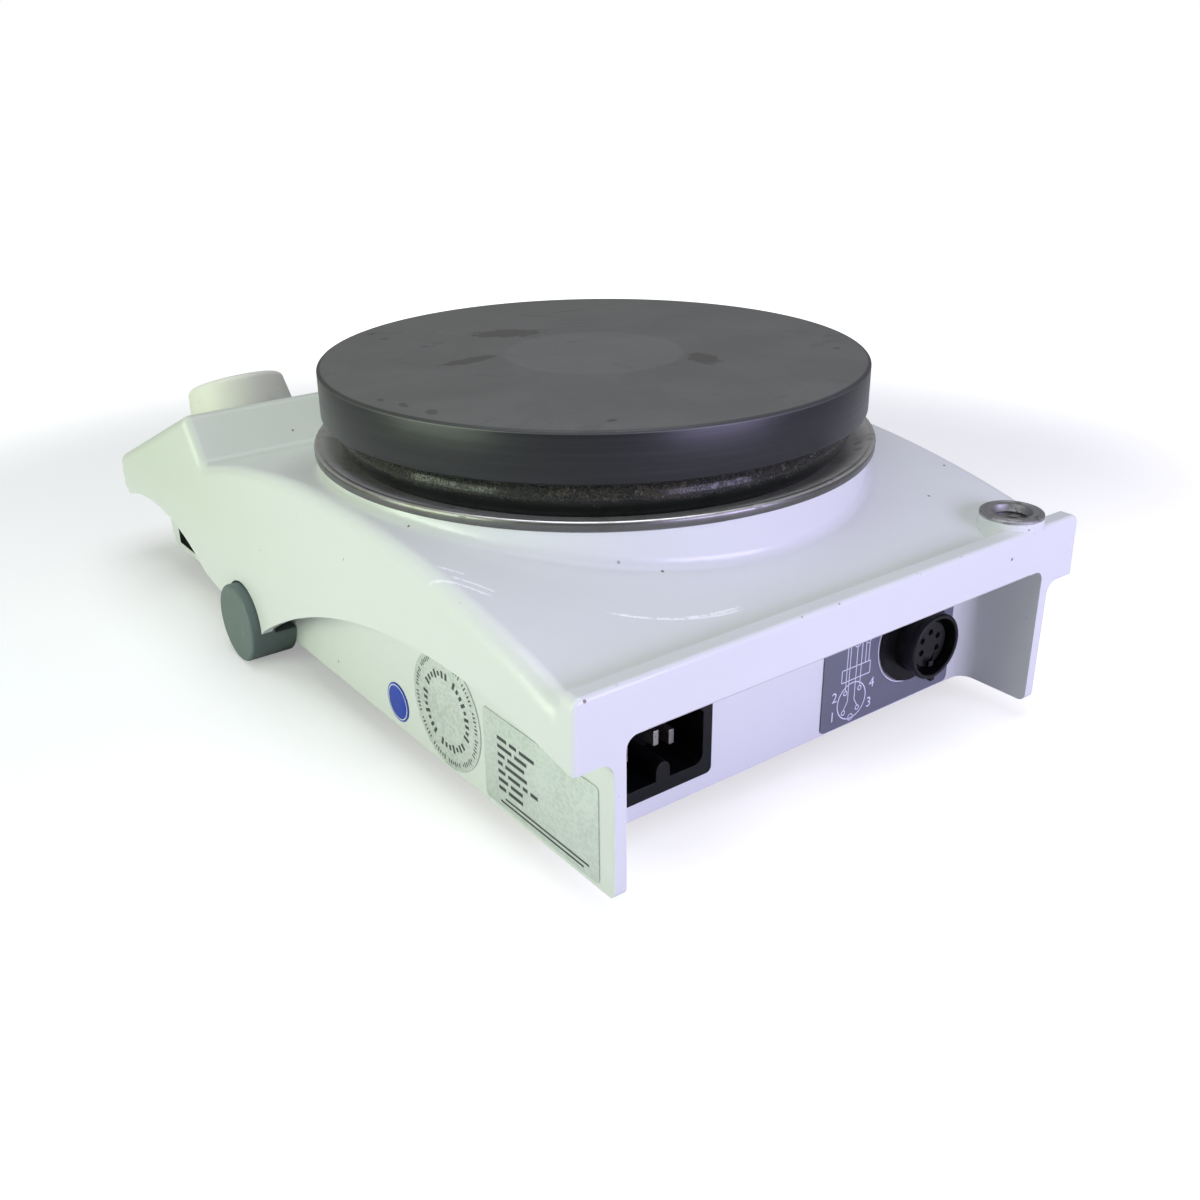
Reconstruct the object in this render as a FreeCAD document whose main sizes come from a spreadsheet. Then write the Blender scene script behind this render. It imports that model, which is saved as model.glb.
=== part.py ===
import FreeCAD, Part
import math
import operator
import os
from types import SimpleNamespace

import Sketcher
from FreeCAD import Placement, Rotation, Vector

# Hotplate magnetic stirrer.
# Frame: +X to the right seen from the front, +Y to the rear, +Z up, origin on the table under the centre.
# The control panel has a frame of its own: X as above, "up" along the slope from the nose, "out" normal to it.

SIZES = [
    # casting, seen from the side
    ("half_length", 138.5, "origin to nose, and origin to rail"),
    ("skirt_half_width", 82.0, "skirt's outer face at the rail's top"),
    ("side_draft", 2.0, "degrees that the skirts spread towards the table"),
    ("casting_wall", 3.0, "deck and skirt thickness"),
    ("rail_top", 57.4, "height of the rear rail"),
    ("rail_height", 17.0, "height of the rail's rear face"),
    ("lip_thickness", 4.5, "rail, front to rear"),
    ("lip_foot_height", 53.4, "deck height at the rail"),
    ("crown_drop", 25.935, "plate's top to the crown of the deck's arch"),
    ("valley_run", 82.9, "nose to the valley behind the control block"),
    ("valley_height", 54.0, "deck height in the valley"),
    ("ridge_run", 71.0, "nose to the control block's ridge"),
    ("panel_slope", 22.9, "degrees of the control panel"),
    ("nose_top", 37.5, "height of the panel's lower edge"),
    ("nose_bottom", 24.0, "height of the nose's underside"),
    ("nose_round", 4.5, "round under the nose"),
    ("front_arch_radius", 88.0, "concave edge between nose and front foot"),
    ("front_arch_end", 61.0, "origin to the end of that edge"),
    ("front_arch_height", 17.9, "height where it ends"),
    ("tip_reach", 17.6, "origin to the skirt's tip behind the foot"),
    ("tip_height", 12.4, "height of that tip"),
    ("tip_round", 2.6, "round of that tip"),
    ("rear_arch_radius", 208.0, "large concave edge behind the tip"),
    ("valley_radius", 4.0, "round in the valley"),
    ("ridge_radius", 2.8, "round on the ridge"),
    ("nose_top_radius", 3.0, "round on the nose"),
    ("side_radius", 3.4, "round along the skirts, front"),
    ("side_radius_rear", 5.5, "the same at the rail"),
    ("rail_end_radius", 2.5, "rail's upper corners"),
    ("rail_edge_radius", 1.2, "rail's rear edges"),
    ("rail_foot_radius", 2.0, "round at the rail's foot"),
    ("rail_notch", 4.4, "rail's lower edge between the wings, above its ends"),
    ("rail_notch_radius", 3.0, "round of the notch's corners"),
    ("rail_gusset", 3.4, "round between the rail's ends and the wings"),
    # lower walls of the casting
    ("wall_half_width", 72.2, "lower wall's outer face"),
    ("wall_thickness", 2.4, "lower side walls"),
    ("wall_bottom", 5.7, "lower edge of the walls"),
    ("wing_thickness", 3.2, "side walls behind the rear panel"),
    ("wing_round", 4.0, "round between wings and rear panel"),
    ("wing_corner", 2.2, "round of the wings' lower corner"),
    ("front_wall_inset", 13.7, "nose to the front wall"),
    ("front_wall_chamfer", 5.0, "chamfer at its foot"),
    ("rear_panel_inset", 21.2, "rail's rear face to the rear panel's face"),
    ("panel_thickness", 3.0, "rear panel"),
    ("window_front_inset", 20.6, "nose to the side window's front edge"),
    ("window_rear_inset", 43.5, "nose to its rear edge"),
    ("window_low", 7.6, "its lower edge"),
    ("window_high", 23.4, "its upper edge"),
    ("screw_boss_radius", 4.5, "bosses for the base screws"),
    # collar and plate
    ("plate_radius", 74.7, "heating plate"),
    ("plate_thickness", 12.9, "heating plate"),
    ("plate_top", 94.0, "working height"),
    ("plate_centre", 36.2, "origin to the plate's axis"),
    ("plate_edge", 0.7, "chamfer on the plate's edge"),
    ("collar_radius", 75.4, "collar's outer wall"),
    ("collar_bore", 64.0, "well inside the collar"),
    ("collar_drop", 23.6, "plate's top to the seat of the drip tray"),
    ("collar_fillet", 3.2, "round at the collar's foot"),
    ("well_drop", 28.0, "plate's top to the floor of the well"),
    ("well_thickness", 3.6, "floor thickness"),
    ("tray_radius", 77.4, "drip tray's rim"),
    ("tray_sheet", 0.8, "its sheet"),
    ("tray_rise", 2.55, "rim over the tray's floor"),
    ("tray_rim", 2.5, "rolled rim, top to edge"),
    ("tray_floor_radius", 69.6, "flat part of the tray"),
    ("tray_bore", 60.0, "hole in the tray"),
    ("ring_radius", 70.5, "insulating ring at its widest"),
    ("ring_foot_radius", 67.5, "insulating ring on the tray"),
    ("ring_bore", 64.0, "its bore"),
    ("ring_flatness", 0.65, "radius of its outer face over half its height"),
    ("heater_pitch", 48.0, "heater tube's ring radius"),
    ("heater_tube", 3.0, "heater tube radius"),
    ("heater_groove", 3.4, "half width of its groove"),
    ("clamp_sheet", 1.2, "heater clamp"),
    ("shield_sheet", 0.8, "heat shield"),
    ("insulation_thickness", 4.4, "insulation disc"),
    ("post_pitch", 55.5, "plate posts' circle radius"),
    ("post_radius", 3.6, "plate posts"),
    ("post_screw", 2.0, "their screws"),
    ("probe_radius", 1.6, "plate's temperature probe"),
    # rod boss
    ("boss_offset", 64.0, "origin to the rod boss, sideways"),
    ("boss_inset", 8.2, "rail's rear face to the rod boss"),
    ("boss_radius", 8.4, "boss at its top"),
    ("boss_foot_radius", 9.6, "boss at the deck"),
    ("boss_top", 59.2, "boss under the bush's flange"),
    ("boss_bottom", 46.2, "boss below the deck"),
    ("bush_flange", 0.9, "bush's flange thickness"),
    ("bush_radius", 7.0, "bush in the boss"),
    ("bush_length", 13.0, "bush under its flange"),
    ("thread_radius", 4.25, "threaded hole's wall"),
    ("thread_chamfer", 0.9, "its mouth"),
    # feet
    ("foot_face", 86.5, "foot's outer face"),
    ("foot_reach", 30.8, "origin to the front feet"),
    ("foot_radius", 12.05, "front foot disc, which stands on the table"),
    ("foot_disc", 7.5, "disc thickness"),
    ("foot_gap", 0.6, "gap between foot and skirt"),
    ("foot_flat", 11.3, "height of the bar's flat"),
    ("foot_screw", 2.0, "foot screws"),
    ("rear_foot_offset", 50.0, "rear feet, sideways"),
    ("rear_foot_inset", 40.5, "rail's rear face to the rear feet"),
    ("rear_foot_radius", 8.0, "rear foot on the base"),
    ("rear_foot_tread", 6.8, "rear foot on the table"),
    # base
    ("base_sheet", 1.5, "base plate"),
    ("base_gap", 0.25, "gap round the base plate"),
    ("base_boss_offset", 66.0, "base screws, sideways"),
    ("base_boss_nose_inset", 50.5, "nose to the front pair"),
    ("base_boss_rail_inset", 31.5, "rail's rear face to the rear pair"),
    ("vent_width", 3.0, "slots in the base plate"),
    ("vent_length", 36.0, "slots ahead of the motor"),
    ("vent_length_rear", 30.0, "slots under the motor"),
    ("vent_pitch", 11.0, "slot to slot"),
    ("vent_front", 62.0, "motor's axis to the front slots"),
    ("vent_rear", 12.0, "motor's axis to the rear slots"),
    ("base_screw", 1.6, "base screw"),
    ("base_head", 3.2, "its head"),
    ("head_height", 1.8, "head height of small screws"),
    # drive
    ("shaft_radius", 3.0, "motor shaft"),
    ("running_gap", 0.05, "radial play of turning fits"),
    ("shaft_drop", 33.4, "plate's top to the shaft's upper end"),
    ("shaft_length", 41.8, "motor shaft"),
    ("motor_radius", 30.0, "motor can"),
    ("motor_drop", 46.0, "plate's top to the can's upper end"),
    ("motor_length", 30.8, "motor can"),
    ("can_wall", 1.2, "can sheet"),
    ("bearing_radius", 8.0, "ball bearings"),
    ("bearing_width", 4.5, "ball bearings"),
    ("rotor_radius", 17.0, "motor rotor"),
    ("air_gap", 0.5, "rotor to stator"),
    ("rotor_length", 14.0, "rotor and stator stack"),
    ("bracket_sheet", 2.0, "motor bracket"),
    ("bracket_radius", 47.0, "motor bracket"),
    ("standoff_pitch", 42.0, "bracket standoffs"),
    ("standoff_radius", 3.4, "bracket standoffs"),
    ("carrier_drop", 40.8, "plate's top to the magnet carrier's underside"),
    ("carrier_thickness", 7.6, "magnet carrier"),
    ("carrier_length", 68.0, "magnet carrier, end to end"),
    ("carrier_width", 24.0, "magnet carrier"),
    ("magnet_pitch", 23.0, "axis to magnets"),
    ("magnet_radius", 8.5, "magnets"),
    ("magnet_depth", 5.5, "magnets"),
    # control panel
    ("overlay_half_width", 75.0, "panel overlay"),
    ("overlay_low", 5.0, "nose to its lower edge, up the slope"),
    ("overlay_high", 71.0, "nose to its upper edge"),
    ("overlay_sheet", 0.8, "overlay, flush in its recess"),
    ("overlay_proud", 0.2, "overlay above the casting"),
    ("knob_offset", 50.0, "knobs, sideways"),
    ("knob_up", 44.0, "nose to the knobs, up the slope"),
    ("knob_radius", 16.1, "knob at its top"),
    ("knob_foot_radius", 17.2, "knob at its foot"),
    ("knob_height", 11.4, "knob"),
    ("knob_gap", 0.9, "knob above the overlay"),
    ("knob_round", 2.4, "round on the knob's edge"),
    ("knob_wall", 2.2, "knob's shell"),
    ("pointer_length", 9.0, "line on the knob"),
    ("pointer_width", 1.4, "line on the knob"),
    ("pointer_depth", 0.6, "line on the knob"),
    ("pointer_angle", 225.0, "degrees from X to the line at zero"),
    ("spindle_radius", 3.0, "potentiometer spindle"),
    ("bush_bore_gap", 0.05, "spindle play"),
    ("pot_bush", 4.6, "potentiometer's threaded neck"),
    ("pot_radius", 8.2, "potentiometer"),
    ("pot_depth", 9.0, "potentiometer"),
    ("nut_thickness", 2.2, "potentiometer nut"),
    ("window_half_width", 19.0, "display window"),
    ("window_bottom_up", 44.0, "nose to its lower edge"),
    ("window_top_up", 62.0, "nose to its upper edge"),
    ("window_sheet", 1.6, "display window"),
    ("rocker_up", 26.0, "nose to the power switch"),
    ("rocker_half_length", 10.5, "rocker"),
    ("rocker_half_width", 6.5, "rocker"),
    ("rocker_frame_border", 1.8, "switch bezel"),
    ("rocker_depth", 12.0, "switch body"),
    ("rocker_gap", 0.35, "rocker to bezel"),
    ("rocker_proud", 2.6, "pivot to the panel's face"),
    ("rocker_tilt", 7.0, "degrees from level when off"),
    ("pivot_radius", 1.2, "rocker's pivot"),
    ("lamp_radius", 2.2, "indicator lenses"),
    ("lamp_offset", 30.0, "indicator lenses, sideways"),
    ("board_sheet", 1.6, "circuit boards"),
    ("control_board_depth", 15.5, "overlay to the control board"),
    ("control_board_overhang", 6.0, "board beyond switch and display"),
    ("board_spacer_low", 18.0, "board's centre to its lower spacers"),
    ("board_spacer_high", 20.0, "board's centre to its upper spacers"),
    # rear panel
    ("inlet_offset", 41.7, "mains inlet, sideways"),
    ("inlet_height", 22.0, "its centre"),
    ("inlet_half_width", 15.3, "flange"),
    ("inlet_half_height", 12.0, "flange"),
    ("inlet_flange", 2.0, "flange thickness, recessed in the panel"),
    ("inlet_proud", 0.2, "flange above the panel"),
    ("inlet_cut_half_width", 13.6, "panel cut-out"),
    ("inlet_cut_half_height", 10.2, "panel cut-out"),
    ("inlet_well_half_width", 12.3, "plug well"),
    ("inlet_well_half_height", 8.25, "plug well"),
    ("inlet_well_bevel", 2.6, "bevels at its top"),
    ("inlet_well_round", 2.6, "rounds at its foot"),
    ("inlet_corner", 1.6, "flange's corners"),
    ("inlet_well_depth", 15.0, "plug well"),
    ("inlet_depth", 19.0, "body behind the panel"),
    ("inlet_fit", 0.1, "inlet to its cut-out"),
    ("inlet_key_half_width", 2.1, "key rib"),
    ("inlet_key_height", 4.8, "key rib"),
    ("blade_pitch", 7.0, "centre to line and neutral"),
    ("blade_half_width", 0.8, "contact blades"),
    ("blade_half_height", 2.0, "contact blades"),
    ("blade_recess", 5.4, "face to the tips of line and neutral"),
    ("earth_recess", 2.7, "face to the tip of the earth blade"),
    ("blade_row_gap", 1.7, "earth above, line and neutral below the centre"),
    ("socket_offset", 44.5, "sensor socket, sideways"),
    ("socket_height", 25.1, "its centre"),
    ("socket_flange_radius", 12.4, "flange"),
    ("socket_flange", 1.6, "flange thickness"),
    ("socket_radius", 8.7, "barrel"),
    ("socket_reach", 8.9, "panel to its mouth"),
    ("socket_ring_radius", 9.2, "ring at the mouth"),
    ("socket_ring", 1.8, "ring thickness"),
    ("socket_bore", 7.8, "inside the barrel"),
    ("socket_lug", 1.6, "lug on the ring"),
    ("socket_recess", 2.3, "mouth to the insert"),
    ("socket_floor", 3.5, "insert's face to the floor round it"),
    ("insert_radius", 6.3, "contact insert"),
    ("contact_pitch", 3.5, "contacts' circle"),
    ("contact_radius", 0.85, "contact holes"),
    ("label_left_reach", 11.2, "rear label, sideways"),
    ("label_right_reach", 61.5, "rear label, sideways"),
    ("label_bottom", 6.4, "rear label"),
    ("label_top", 39.0, "rear label"),
    ("label_sheet", 0.4, "rear label"),
    ("label_corner", 1.6, "its corners"),
    ("foil_sheet", 0.3, "foils on the side wall"),
    ("small_foil_radius", 5.5, "small disc foil"),
    ("small_foil_reach", 45.0, "origin to its centre"),
    ("small_foil_height", 13.3, "its centre"),
    ("large_foil_radius", 15.8, "large disc foil"),
    ("large_foil_reach", 70.9, "origin to its centre"),
    ("large_foil_height", 22.0, "its centre"),
    ("plate_foil_length", 45.0, "rectangular foil"),
    ("plate_foil_height", 24.6, "rectangular foil"),
    ("plate_foil_inset", 27.7, "rail's rear face to its centre"),
    ("plate_foil_bottom", 7.0, "its lower edge"),
    # supply
    ("supply_board_x", 84.0, "supply board"),
    ("supply_board_y", 56.0, "supply board"),
    ("supply_board_inset", 54.5, "nose to its centre"),
    ("supply_board_height", 13.0, "under the board"),
    ("transformer_clearance", 1.5, "transformer to the control board's screws"),
    ("transformer_x", 15.0, "board's centre to the transformer, sideways"),
    ("transformer_y", 9.0, "board's centre to the transformer, rearward"),
    ("transformer_width", 34.0, "its core"),
    ("transformer_depth", 28.0, "its core"),
    ("winding_width", 24.0, "its winding"),
    ("winding_overhang", 3.0, "winding beyond the core"),
    ("winding_step", 3.5, "winding inside the core's height"),
    ("capacitor_radius", 5.5, "capacitors"),
    ("capacitor_height", 17.0, "capacitors"),
    ("capacitor_x", 12.0, "board's centre to the first pair, sideways"),
    ("capacitor_y", 12.0, "board's centre to the first one, rearward"),
    ("capacitor_pitch_x", 13.0, "pair to the third"),
    ("capacitor_pitch_y", 15.0, "first to second"),
    ("capacitor_step", 4.0, "second to third, forward"),
    ("heatsink_width", 12.0, "heat sink"),
    ("heatsink_side", 20.0, "its length and height"),
    ("heatsink_x", 31.0, "board's centre to the heat sink, sideways"),
    ("heatsink_y", 9.0, "board's centre to the heat sink, rearward"),
    ("heatsink_groove", 1.8, "gap between its fins"),
    ("heatsink_pitch", 3.3, "fin to fin"),
    ("heatsink_back", 5.0, "its plate behind the fins"),
    ("terminal_width", 30.0, "terminal block"),
    ("terminal_depth", 10.0, "terminal block"),
    ("terminal_height", 11.0, "terminal block"),
    ("terminal_x", 10.0, "board's centre to its middle, and well to well"),
    ("terminal_y", 18.0, "board's centre to its middle, forward"),
    ("terminal_well", 2.4, "its wells"),
    ("terminal_well_depth", 4.0, "its wells"),
    ("board_corner", 5.0, "board's edge to its screws"),
    ("spacer_radius", 3.0, "board spacers"),
    ("spacer_screw", 1.4, "board screws"),
]

doc = FreeCAD.newDocument("hotplate_stirrer")
sheet = doc.addObject("Spreadsheet::Sheet", "sizes")
for row, (alias, number, note) in enumerate(SIZES, start=1):
    sheet.set(f"A{row}", alias)
    sheet.set(f"B{row}", str(number))
    sheet.set(f"C{row}", note)
    sheet.setAlias(f"B{row}", alias)
doc.recompute()


class Size:
    """A length or angle that carries its number and the sheet expression it comes from."""

    def __init__(self, text, value):
        self.text = text
        self.value = value

    def __add__(self, other):
        return joined(operator.add, "+", self, other)

    def __radd__(self, other):
        return joined(operator.add, "+", other, self)

    def __sub__(self, other):
        return joined(operator.sub, "-", self, other)

    def __rsub__(self, other):
        return joined(operator.sub, "-", other, self)

    def __mul__(self, other):
        return joined(operator.mul, "*", self, other)

    def __rmul__(self, other):
        return joined(operator.mul, "*", other, self)

    def __truediv__(self, other):
        return joined(operator.truediv, "/", self, other)

    def __neg__(self):
        return joined(operator.mul, "*", self, -1)


def as_size(value):
    """Wraps a plain number."""
    if isinstance(value, Size):
        return value
    return Size(f"({float(value)})", float(value))


def joined(operation, sign, left, right):
    """Combines two sizes in number and in expression."""
    left = as_size(left)
    right = as_size(right)
    return Size(f"({left.text} {sign} {right.text})", operation(left.value, right.value))


def tangent(angle):
    return Size(f"tan({angle.text})", math.tan(math.radians(angle.value)))


def sine(angle):
    return Size(f"sin({angle.text})", math.sin(math.radians(angle.value)))


def cosine(angle):
    return Size(f"cos({angle.text})", math.cos(math.radians(angle.value)))


s = SimpleNamespace(**{alias: Size(f"sizes.{alias}", number) for alias, number, note in SIZES})

# Distances from the origin that follow from those to the nose or to the rail's rear face.
s.valley_reach = s.half_length - s.valley_run
s.ridge_reach = s.half_length - s.ridge_run
s.front_wall_reach = s.half_length - s.front_wall_inset
s.rear_panel_reach = s.half_length - s.rear_panel_inset
s.window_front = s.half_length - s.window_front_inset
s.window_rear = s.half_length - s.window_rear_inset
s.boss_reach = s.half_length - s.boss_inset
s.rear_foot_reach = s.half_length - s.rear_foot_inset
s.base_boss_front = s.half_length - s.base_boss_nose_inset
s.base_boss_rear = s.half_length - s.base_boss_rail_inset
s.supply_board_reach = s.half_length - s.supply_board_inset

# The deck's arch spans from the valley to the rail's foot, and its crown follows the plate's top.
s.arch_rise = s.plate_top - s.crown_drop - (s.valley_height + s.lip_foot_height) / 2
s.arch_run = s.half_length - s.lip_thickness + s.valley_reach
s.arch_fall = s.valley_height - s.lip_foot_height
s.arch_chord_squared = s.arch_run * s.arch_run + s.arch_fall * s.arch_fall
s.arch_radius = (s.arch_chord_squared / 4 + s.arch_rise * s.arch_rise) / (s.arch_rise * 2)

# Heights that follow from the plate's top.
s.collar_top = s.plate_top - s.collar_drop
s.well_floor = s.plate_top - s.well_drop
s.shaft_top = s.plate_top - s.shaft_drop
s.shaft_bottom = s.shaft_top - s.shaft_length
s.motor_top = s.plate_top - s.motor_drop
s.motor_bottom = s.motor_top - s.motor_length
s.carrier_bottom = s.plate_top - s.carrier_drop

UPRIGHT = Rotation()
ALONG_X = Rotation(Vector(0, 1, 0), 90)
ALONG_Y = Rotation(Vector(1, 0, 0), -90)


def bind(item, prop, size):
    """Ties a property to the sheet."""
    size = as_size(size)
    if "Placement" not in prop:
        setattr(item, prop, size.value)
    if "sizes." in size.text:
        item.setExpression(prop, size.text)


def place(item, x, y, z, turn=UPRIGHT):
    """Puts an object at a bound point."""
    at = [as_size(value) for value in (x, y, z)]
    item.Placement = Placement(Vector(*[value.value for value in at]), turn)
    for axis, value in zip("xyz", at):
        bind(item, f"Placement.Base.{axis}", value)


def place_on_panel(item, x, up, out):
    """Puts an object on the sloped control panel, its Z axis along the panel's normal."""
    y = up * cosine(s.panel_slope) - out * sine(s.panel_slope) - s.half_length
    z = up * sine(s.panel_slope) + out * cosine(s.panel_slope) + s.nose_top
    place(item, x, y, z, Rotation(Vector(1, 0, 0), s.panel_slope.value))
    item.setExpression("Placement.Rotation.Angle", s.panel_slope.text)


def cylinder(name, radius, height, x=0, y=0, z=0, turn=UPRIGHT):
    item = doc.addObject("Part::Cylinder", name)
    bind(item, "Radius", radius)
    bind(item, "Height", height)
    place(item, x, y, z, turn)
    return item


def cone(name, radius, top_radius, height, x=0, y=0, z=0, turn=UPRIGHT):
    item = doc.addObject("Part::Cone", name)
    bind(item, "Radius1", radius)
    bind(item, "Radius2", top_radius)
    bind(item, "Height", height)
    place(item, x, y, z, turn)
    return item


def torus(name, ring, tube, x=0, y=0, z=0):
    item = doc.addObject("Part::Torus", name)
    bind(item, "Radius1", ring)
    bind(item, "Radius2", tube)
    place(item, x, y, z)
    return item


def box(name, length, width, height, x=0, y=0, z=0):
    """A box whose X and Y are centred and whose Z starts at z."""
    item = doc.addObject("Part::Box", name)
    bind(item, "Length", length)
    bind(item, "Width", width)
    bind(item, "Height", height)
    place(item, x - as_size(length) / 2, y - as_size(width) / 2, z)
    return item


def panel_cylinder(name, radius, height, x, up, out):
    item = cylinder(name, radius, height)
    place_on_panel(item, x, as_size(up), as_size(out))
    return item


def panel_box(name, length, width, height, x, up, out):
    """A box on the sloped panel, centred across it."""
    item = box(name, length, width, height)
    place_on_panel(item, x - as_size(length) / 2, up - as_size(width) / 2, as_size(out))
    return item


def fuse(name, *parts):
    item = doc.addObject("Part::MultiFuse", name)
    item.Shapes = list(parts)
    return item


def common(name, *parts):
    item = doc.addObject("Part::MultiCommon", name)
    item.Shapes = list(parts)
    return item


def cut(name, base, *tools):
    item = doc.addObject("Part::Cut", name)
    item.Base = base
    item.Tool = tools[0] if len(tools) == 1 else fuse(f"{name}_tools", *tools)
    return item


def group(name, *parts):
    """Separate solids in one node."""
    item = doc.addObject("Part::Compound", name)
    item.Links = list(parts)
    return item


def circle_centre(start, end, radius, side):
    """Centre of the minor arc from start to end that bulges to the given side (+1 right, -1 left)."""
    chord = end - start
    middle = start + chord * 0.5
    rise = math.sqrt(radius ** 2 - (chord.Length / 2) ** 2)
    normal = Vector(chord.y, -chord.x, 0) / chord.Length
    return middle - normal * (rise * side)


def outline_sketch(body, name, plane, outline):
    """Draws a closed outline on one of the body's planes and binds every vertex.

    A vertex is (u, v), or (u, v, radius, side) where the edge that leaves it is an arc.
    """
    sketch = body.newObject("Sketcher::SketchObject", name)
    origin_plane = [item for item in body.Origin.OriginFeatures if item.Role == plane][0]
    sketch.AttachmentSupport = [(origin_plane, "")]
    sketch.MapMode = "FlatFace"
    corners = [tuple(as_size(value) for value in vertex[:2]) for vertex in outline]
    points = [Vector(u.value, v.value, 0) for u, v in corners]
    for index, vertex in enumerate(outline):
        start = points[index]
        end = points[(index + 1) % len(points)]
        if len(vertex) == 2:
            sketch.addGeometry(Part.LineSegment(start, end), False)
            continue
        radius = as_size(vertex[2])
        centre = circle_centre(start, end, radius.value, vertex[3])
        angles = [math.atan2(point.y - centre.y, point.x - centre.x) for point in (start, end)]
        if vertex[3] < 0:
            angles.reverse()
        ring = Part.Circle(centre, Vector(0, 0, 1), radius.value)
        sketch.addGeometry(Part.ArcOfCircle(ring, *angles), False)
    for index, vertex in enumerate(outline):
        before = outline[index - 1]
        previous_end = 1 if len(before) == 4 and before[3] < 0 else 2
        own_start = 2 if len(vertex) == 4 and vertex[3] < 0 else 1
        previous = (index - 1) % len(outline)
        sketch.addConstraint(Sketcher.Constraint("Coincident", previous, previous_end, index, own_start))
        for kind, size, axis in (("DistanceX", corners[index][0], -2), ("DistanceY", corners[index][1], -1)):
            if size.value == 0:
                sketch.addConstraint(Sketcher.Constraint("PointOnObject", index, own_start, axis))
                continue
            tie = sketch.addConstraint(Sketcher.Constraint(kind, -1, 1, index, own_start, size.value))
            bind_constraint(sketch, tie, size)
        if len(vertex) == 4:
            radius = as_size(vertex[2])
            tie = sketch.addConstraint(Sketcher.Constraint("Radius", index, radius.value))
            bind_constraint(sketch, tie, radius)
    return sketch


def bind_constraint(sketch, number, size):
    if "sizes." in size.text:
        sketch.setExpression(f"Constraints[{number}]", size.text)


def prism(name, plane, outline, length):
    """A body with one pad, centred on its sketch plane."""
    body = doc.addObject("PartDesign::Body", name)
    sketch = outline_sketch(body, f"{name}_sketch", plane, outline)
    pad = body.newObject("PartDesign::Pad", f"{name}_pad")
    pad.Profile = sketch
    pad.Midplane = True
    bind(pad, "Length", length)
    body.Tip = pad
    return body


def turned(name, outline, x=0, y=0, z=0):
    """A body turned about its own vertical axis from an outline of (radius, height)."""
    body = doc.addObject("PartDesign::Body", name)
    sketch = outline_sketch(body, f"{name}_sketch", "XZ_Plane", outline)
    revolution = body.newObject("PartDesign::Revolution", f"{name}_turn")
    revolution.Profile = sketch
    revolution.ReferenceAxis = (sketch, ["V_Axis"])
    revolution.Angle = 360
    body.Tip = revolution
    place(body, x, y, z)
    return body


def middle(edge):
    return edge.valueAt((edge.FirstParameter + edge.LastParameter) / 2)


def round_edges(name, base, picked, radius, far_radius=None):
    """Rounds the edges that picked(edge) chooses.

    A far_radius makes the longest of them grow along Y: radius at its front end, far_radius at its rear end.
    """
    doc.recompute()
    item = doc.addObject("Part::Fillet", name)
    item.Base = base
    chosen = [(number, edge) for number, edge in enumerate(base.Shape.Edges, start=1) if picked(edge)]
    longest = max(edge.Length for number, edge in chosen)
    radii = []
    for number, edge in chosen:
        ends = [radius.value, radius.value]
        if far_radius and edge.Length > longest - 1:
            rear_first = edge.valueAt(edge.FirstParameter).y > edge.valueAt(edge.LastParameter).y
            ends[0 if rear_first else 1] = far_radius.value
        radii.append((number, *ends))
    item.Edges = radii
    return item


def around(name, count, pitch, maker, x=0, y=0, start=0.0):
    """Copies made by maker(name, x, y), evenly spaced on a circle."""
    copies = []
    for index in range(count):
        angle = math.radians(start + 360.0 * index / count)
        copies.append(maker(f"{name}_{index + 1}", x + pitch * math.cos(angle), y + pitch * math.sin(angle)))
    return copies


# Casting

def deck_line(depth):
    """The casting's upper outline at a depth under its surface, from the rail to the nose."""
    ridge = s.nose_top + (s.half_length - s.ridge_reach) * tangent(s.panel_slope)
    return [
        (s.half_length - s.lip_thickness, s.lip_foot_height - depth, s.arch_radius, 1),
        (-s.valley_reach - depth * 0.45, s.valley_height - depth),
        (-s.ridge_reach - depth * 0.3, ridge - depth * 1.2),
    ]


def panel_height(reach, depth):
    """Height of the sloped panel's surface at a distance in front of the origin, less a depth."""
    return s.nose_top + (s.half_length - reach) * tangent(s.panel_slope) - depth * 1.1


def side_outline():
    """The whole casting seen from its right side."""
    rail_bottom = s.rail_top - s.rail_height
    return [
        (s.half_length, rail_bottom),
        (s.half_length, s.rail_top),
        (s.half_length - s.lip_thickness, s.rail_top),
        *deck_line(as_size(0)),
        (-s.half_length, s.nose_top),
        (-s.half_length, s.nose_bottom + s.nose_round, s.nose_round, 1),
        (-s.half_length + s.nose_round, s.nose_bottom, s.front_arch_radius, -1),
        (-s.front_arch_end, s.front_arch_height),
        (-s.foot_reach, s.tip_height),
        (-s.tip_reach - s.tip_round, s.tip_height, s.tip_round * 1.2, 1),
        (-s.tip_reach + s.tip_round * 0.5, s.tip_height + s.tip_round * 0.6, s.rear_arch_radius, -1),
    ]


def hollow_outline():
    """The space under the deck, from the rail to the nose."""
    front = s.half_length - s.casting_wall
    return [
        (s.half_length - s.lip_thickness, 0),
        *deck_line(s.casting_wall),
        (-front, panel_height(front, s.casting_wall)),
        (-front, 0),
    ]


def walls_outline():
    """The lower walls seen from the side, up into the deck."""
    inside = s.casting_wall / 2
    return [
        (s.half_length - s.wing_corner, s.wall_bottom, s.wing_corner, 1),
        (s.half_length, s.wall_bottom + s.wing_corner),
        (s.half_length, s.lip_foot_height - inside),
        *deck_line(inside),
        (-s.front_wall_reach, panel_height(s.front_wall_reach, inside)),
        (-s.front_wall_reach, s.wall_bottom + s.front_wall_chamfer),
        (-s.front_wall_reach + s.front_wall_chamfer * 0.6, s.wall_bottom),
    ]


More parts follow.
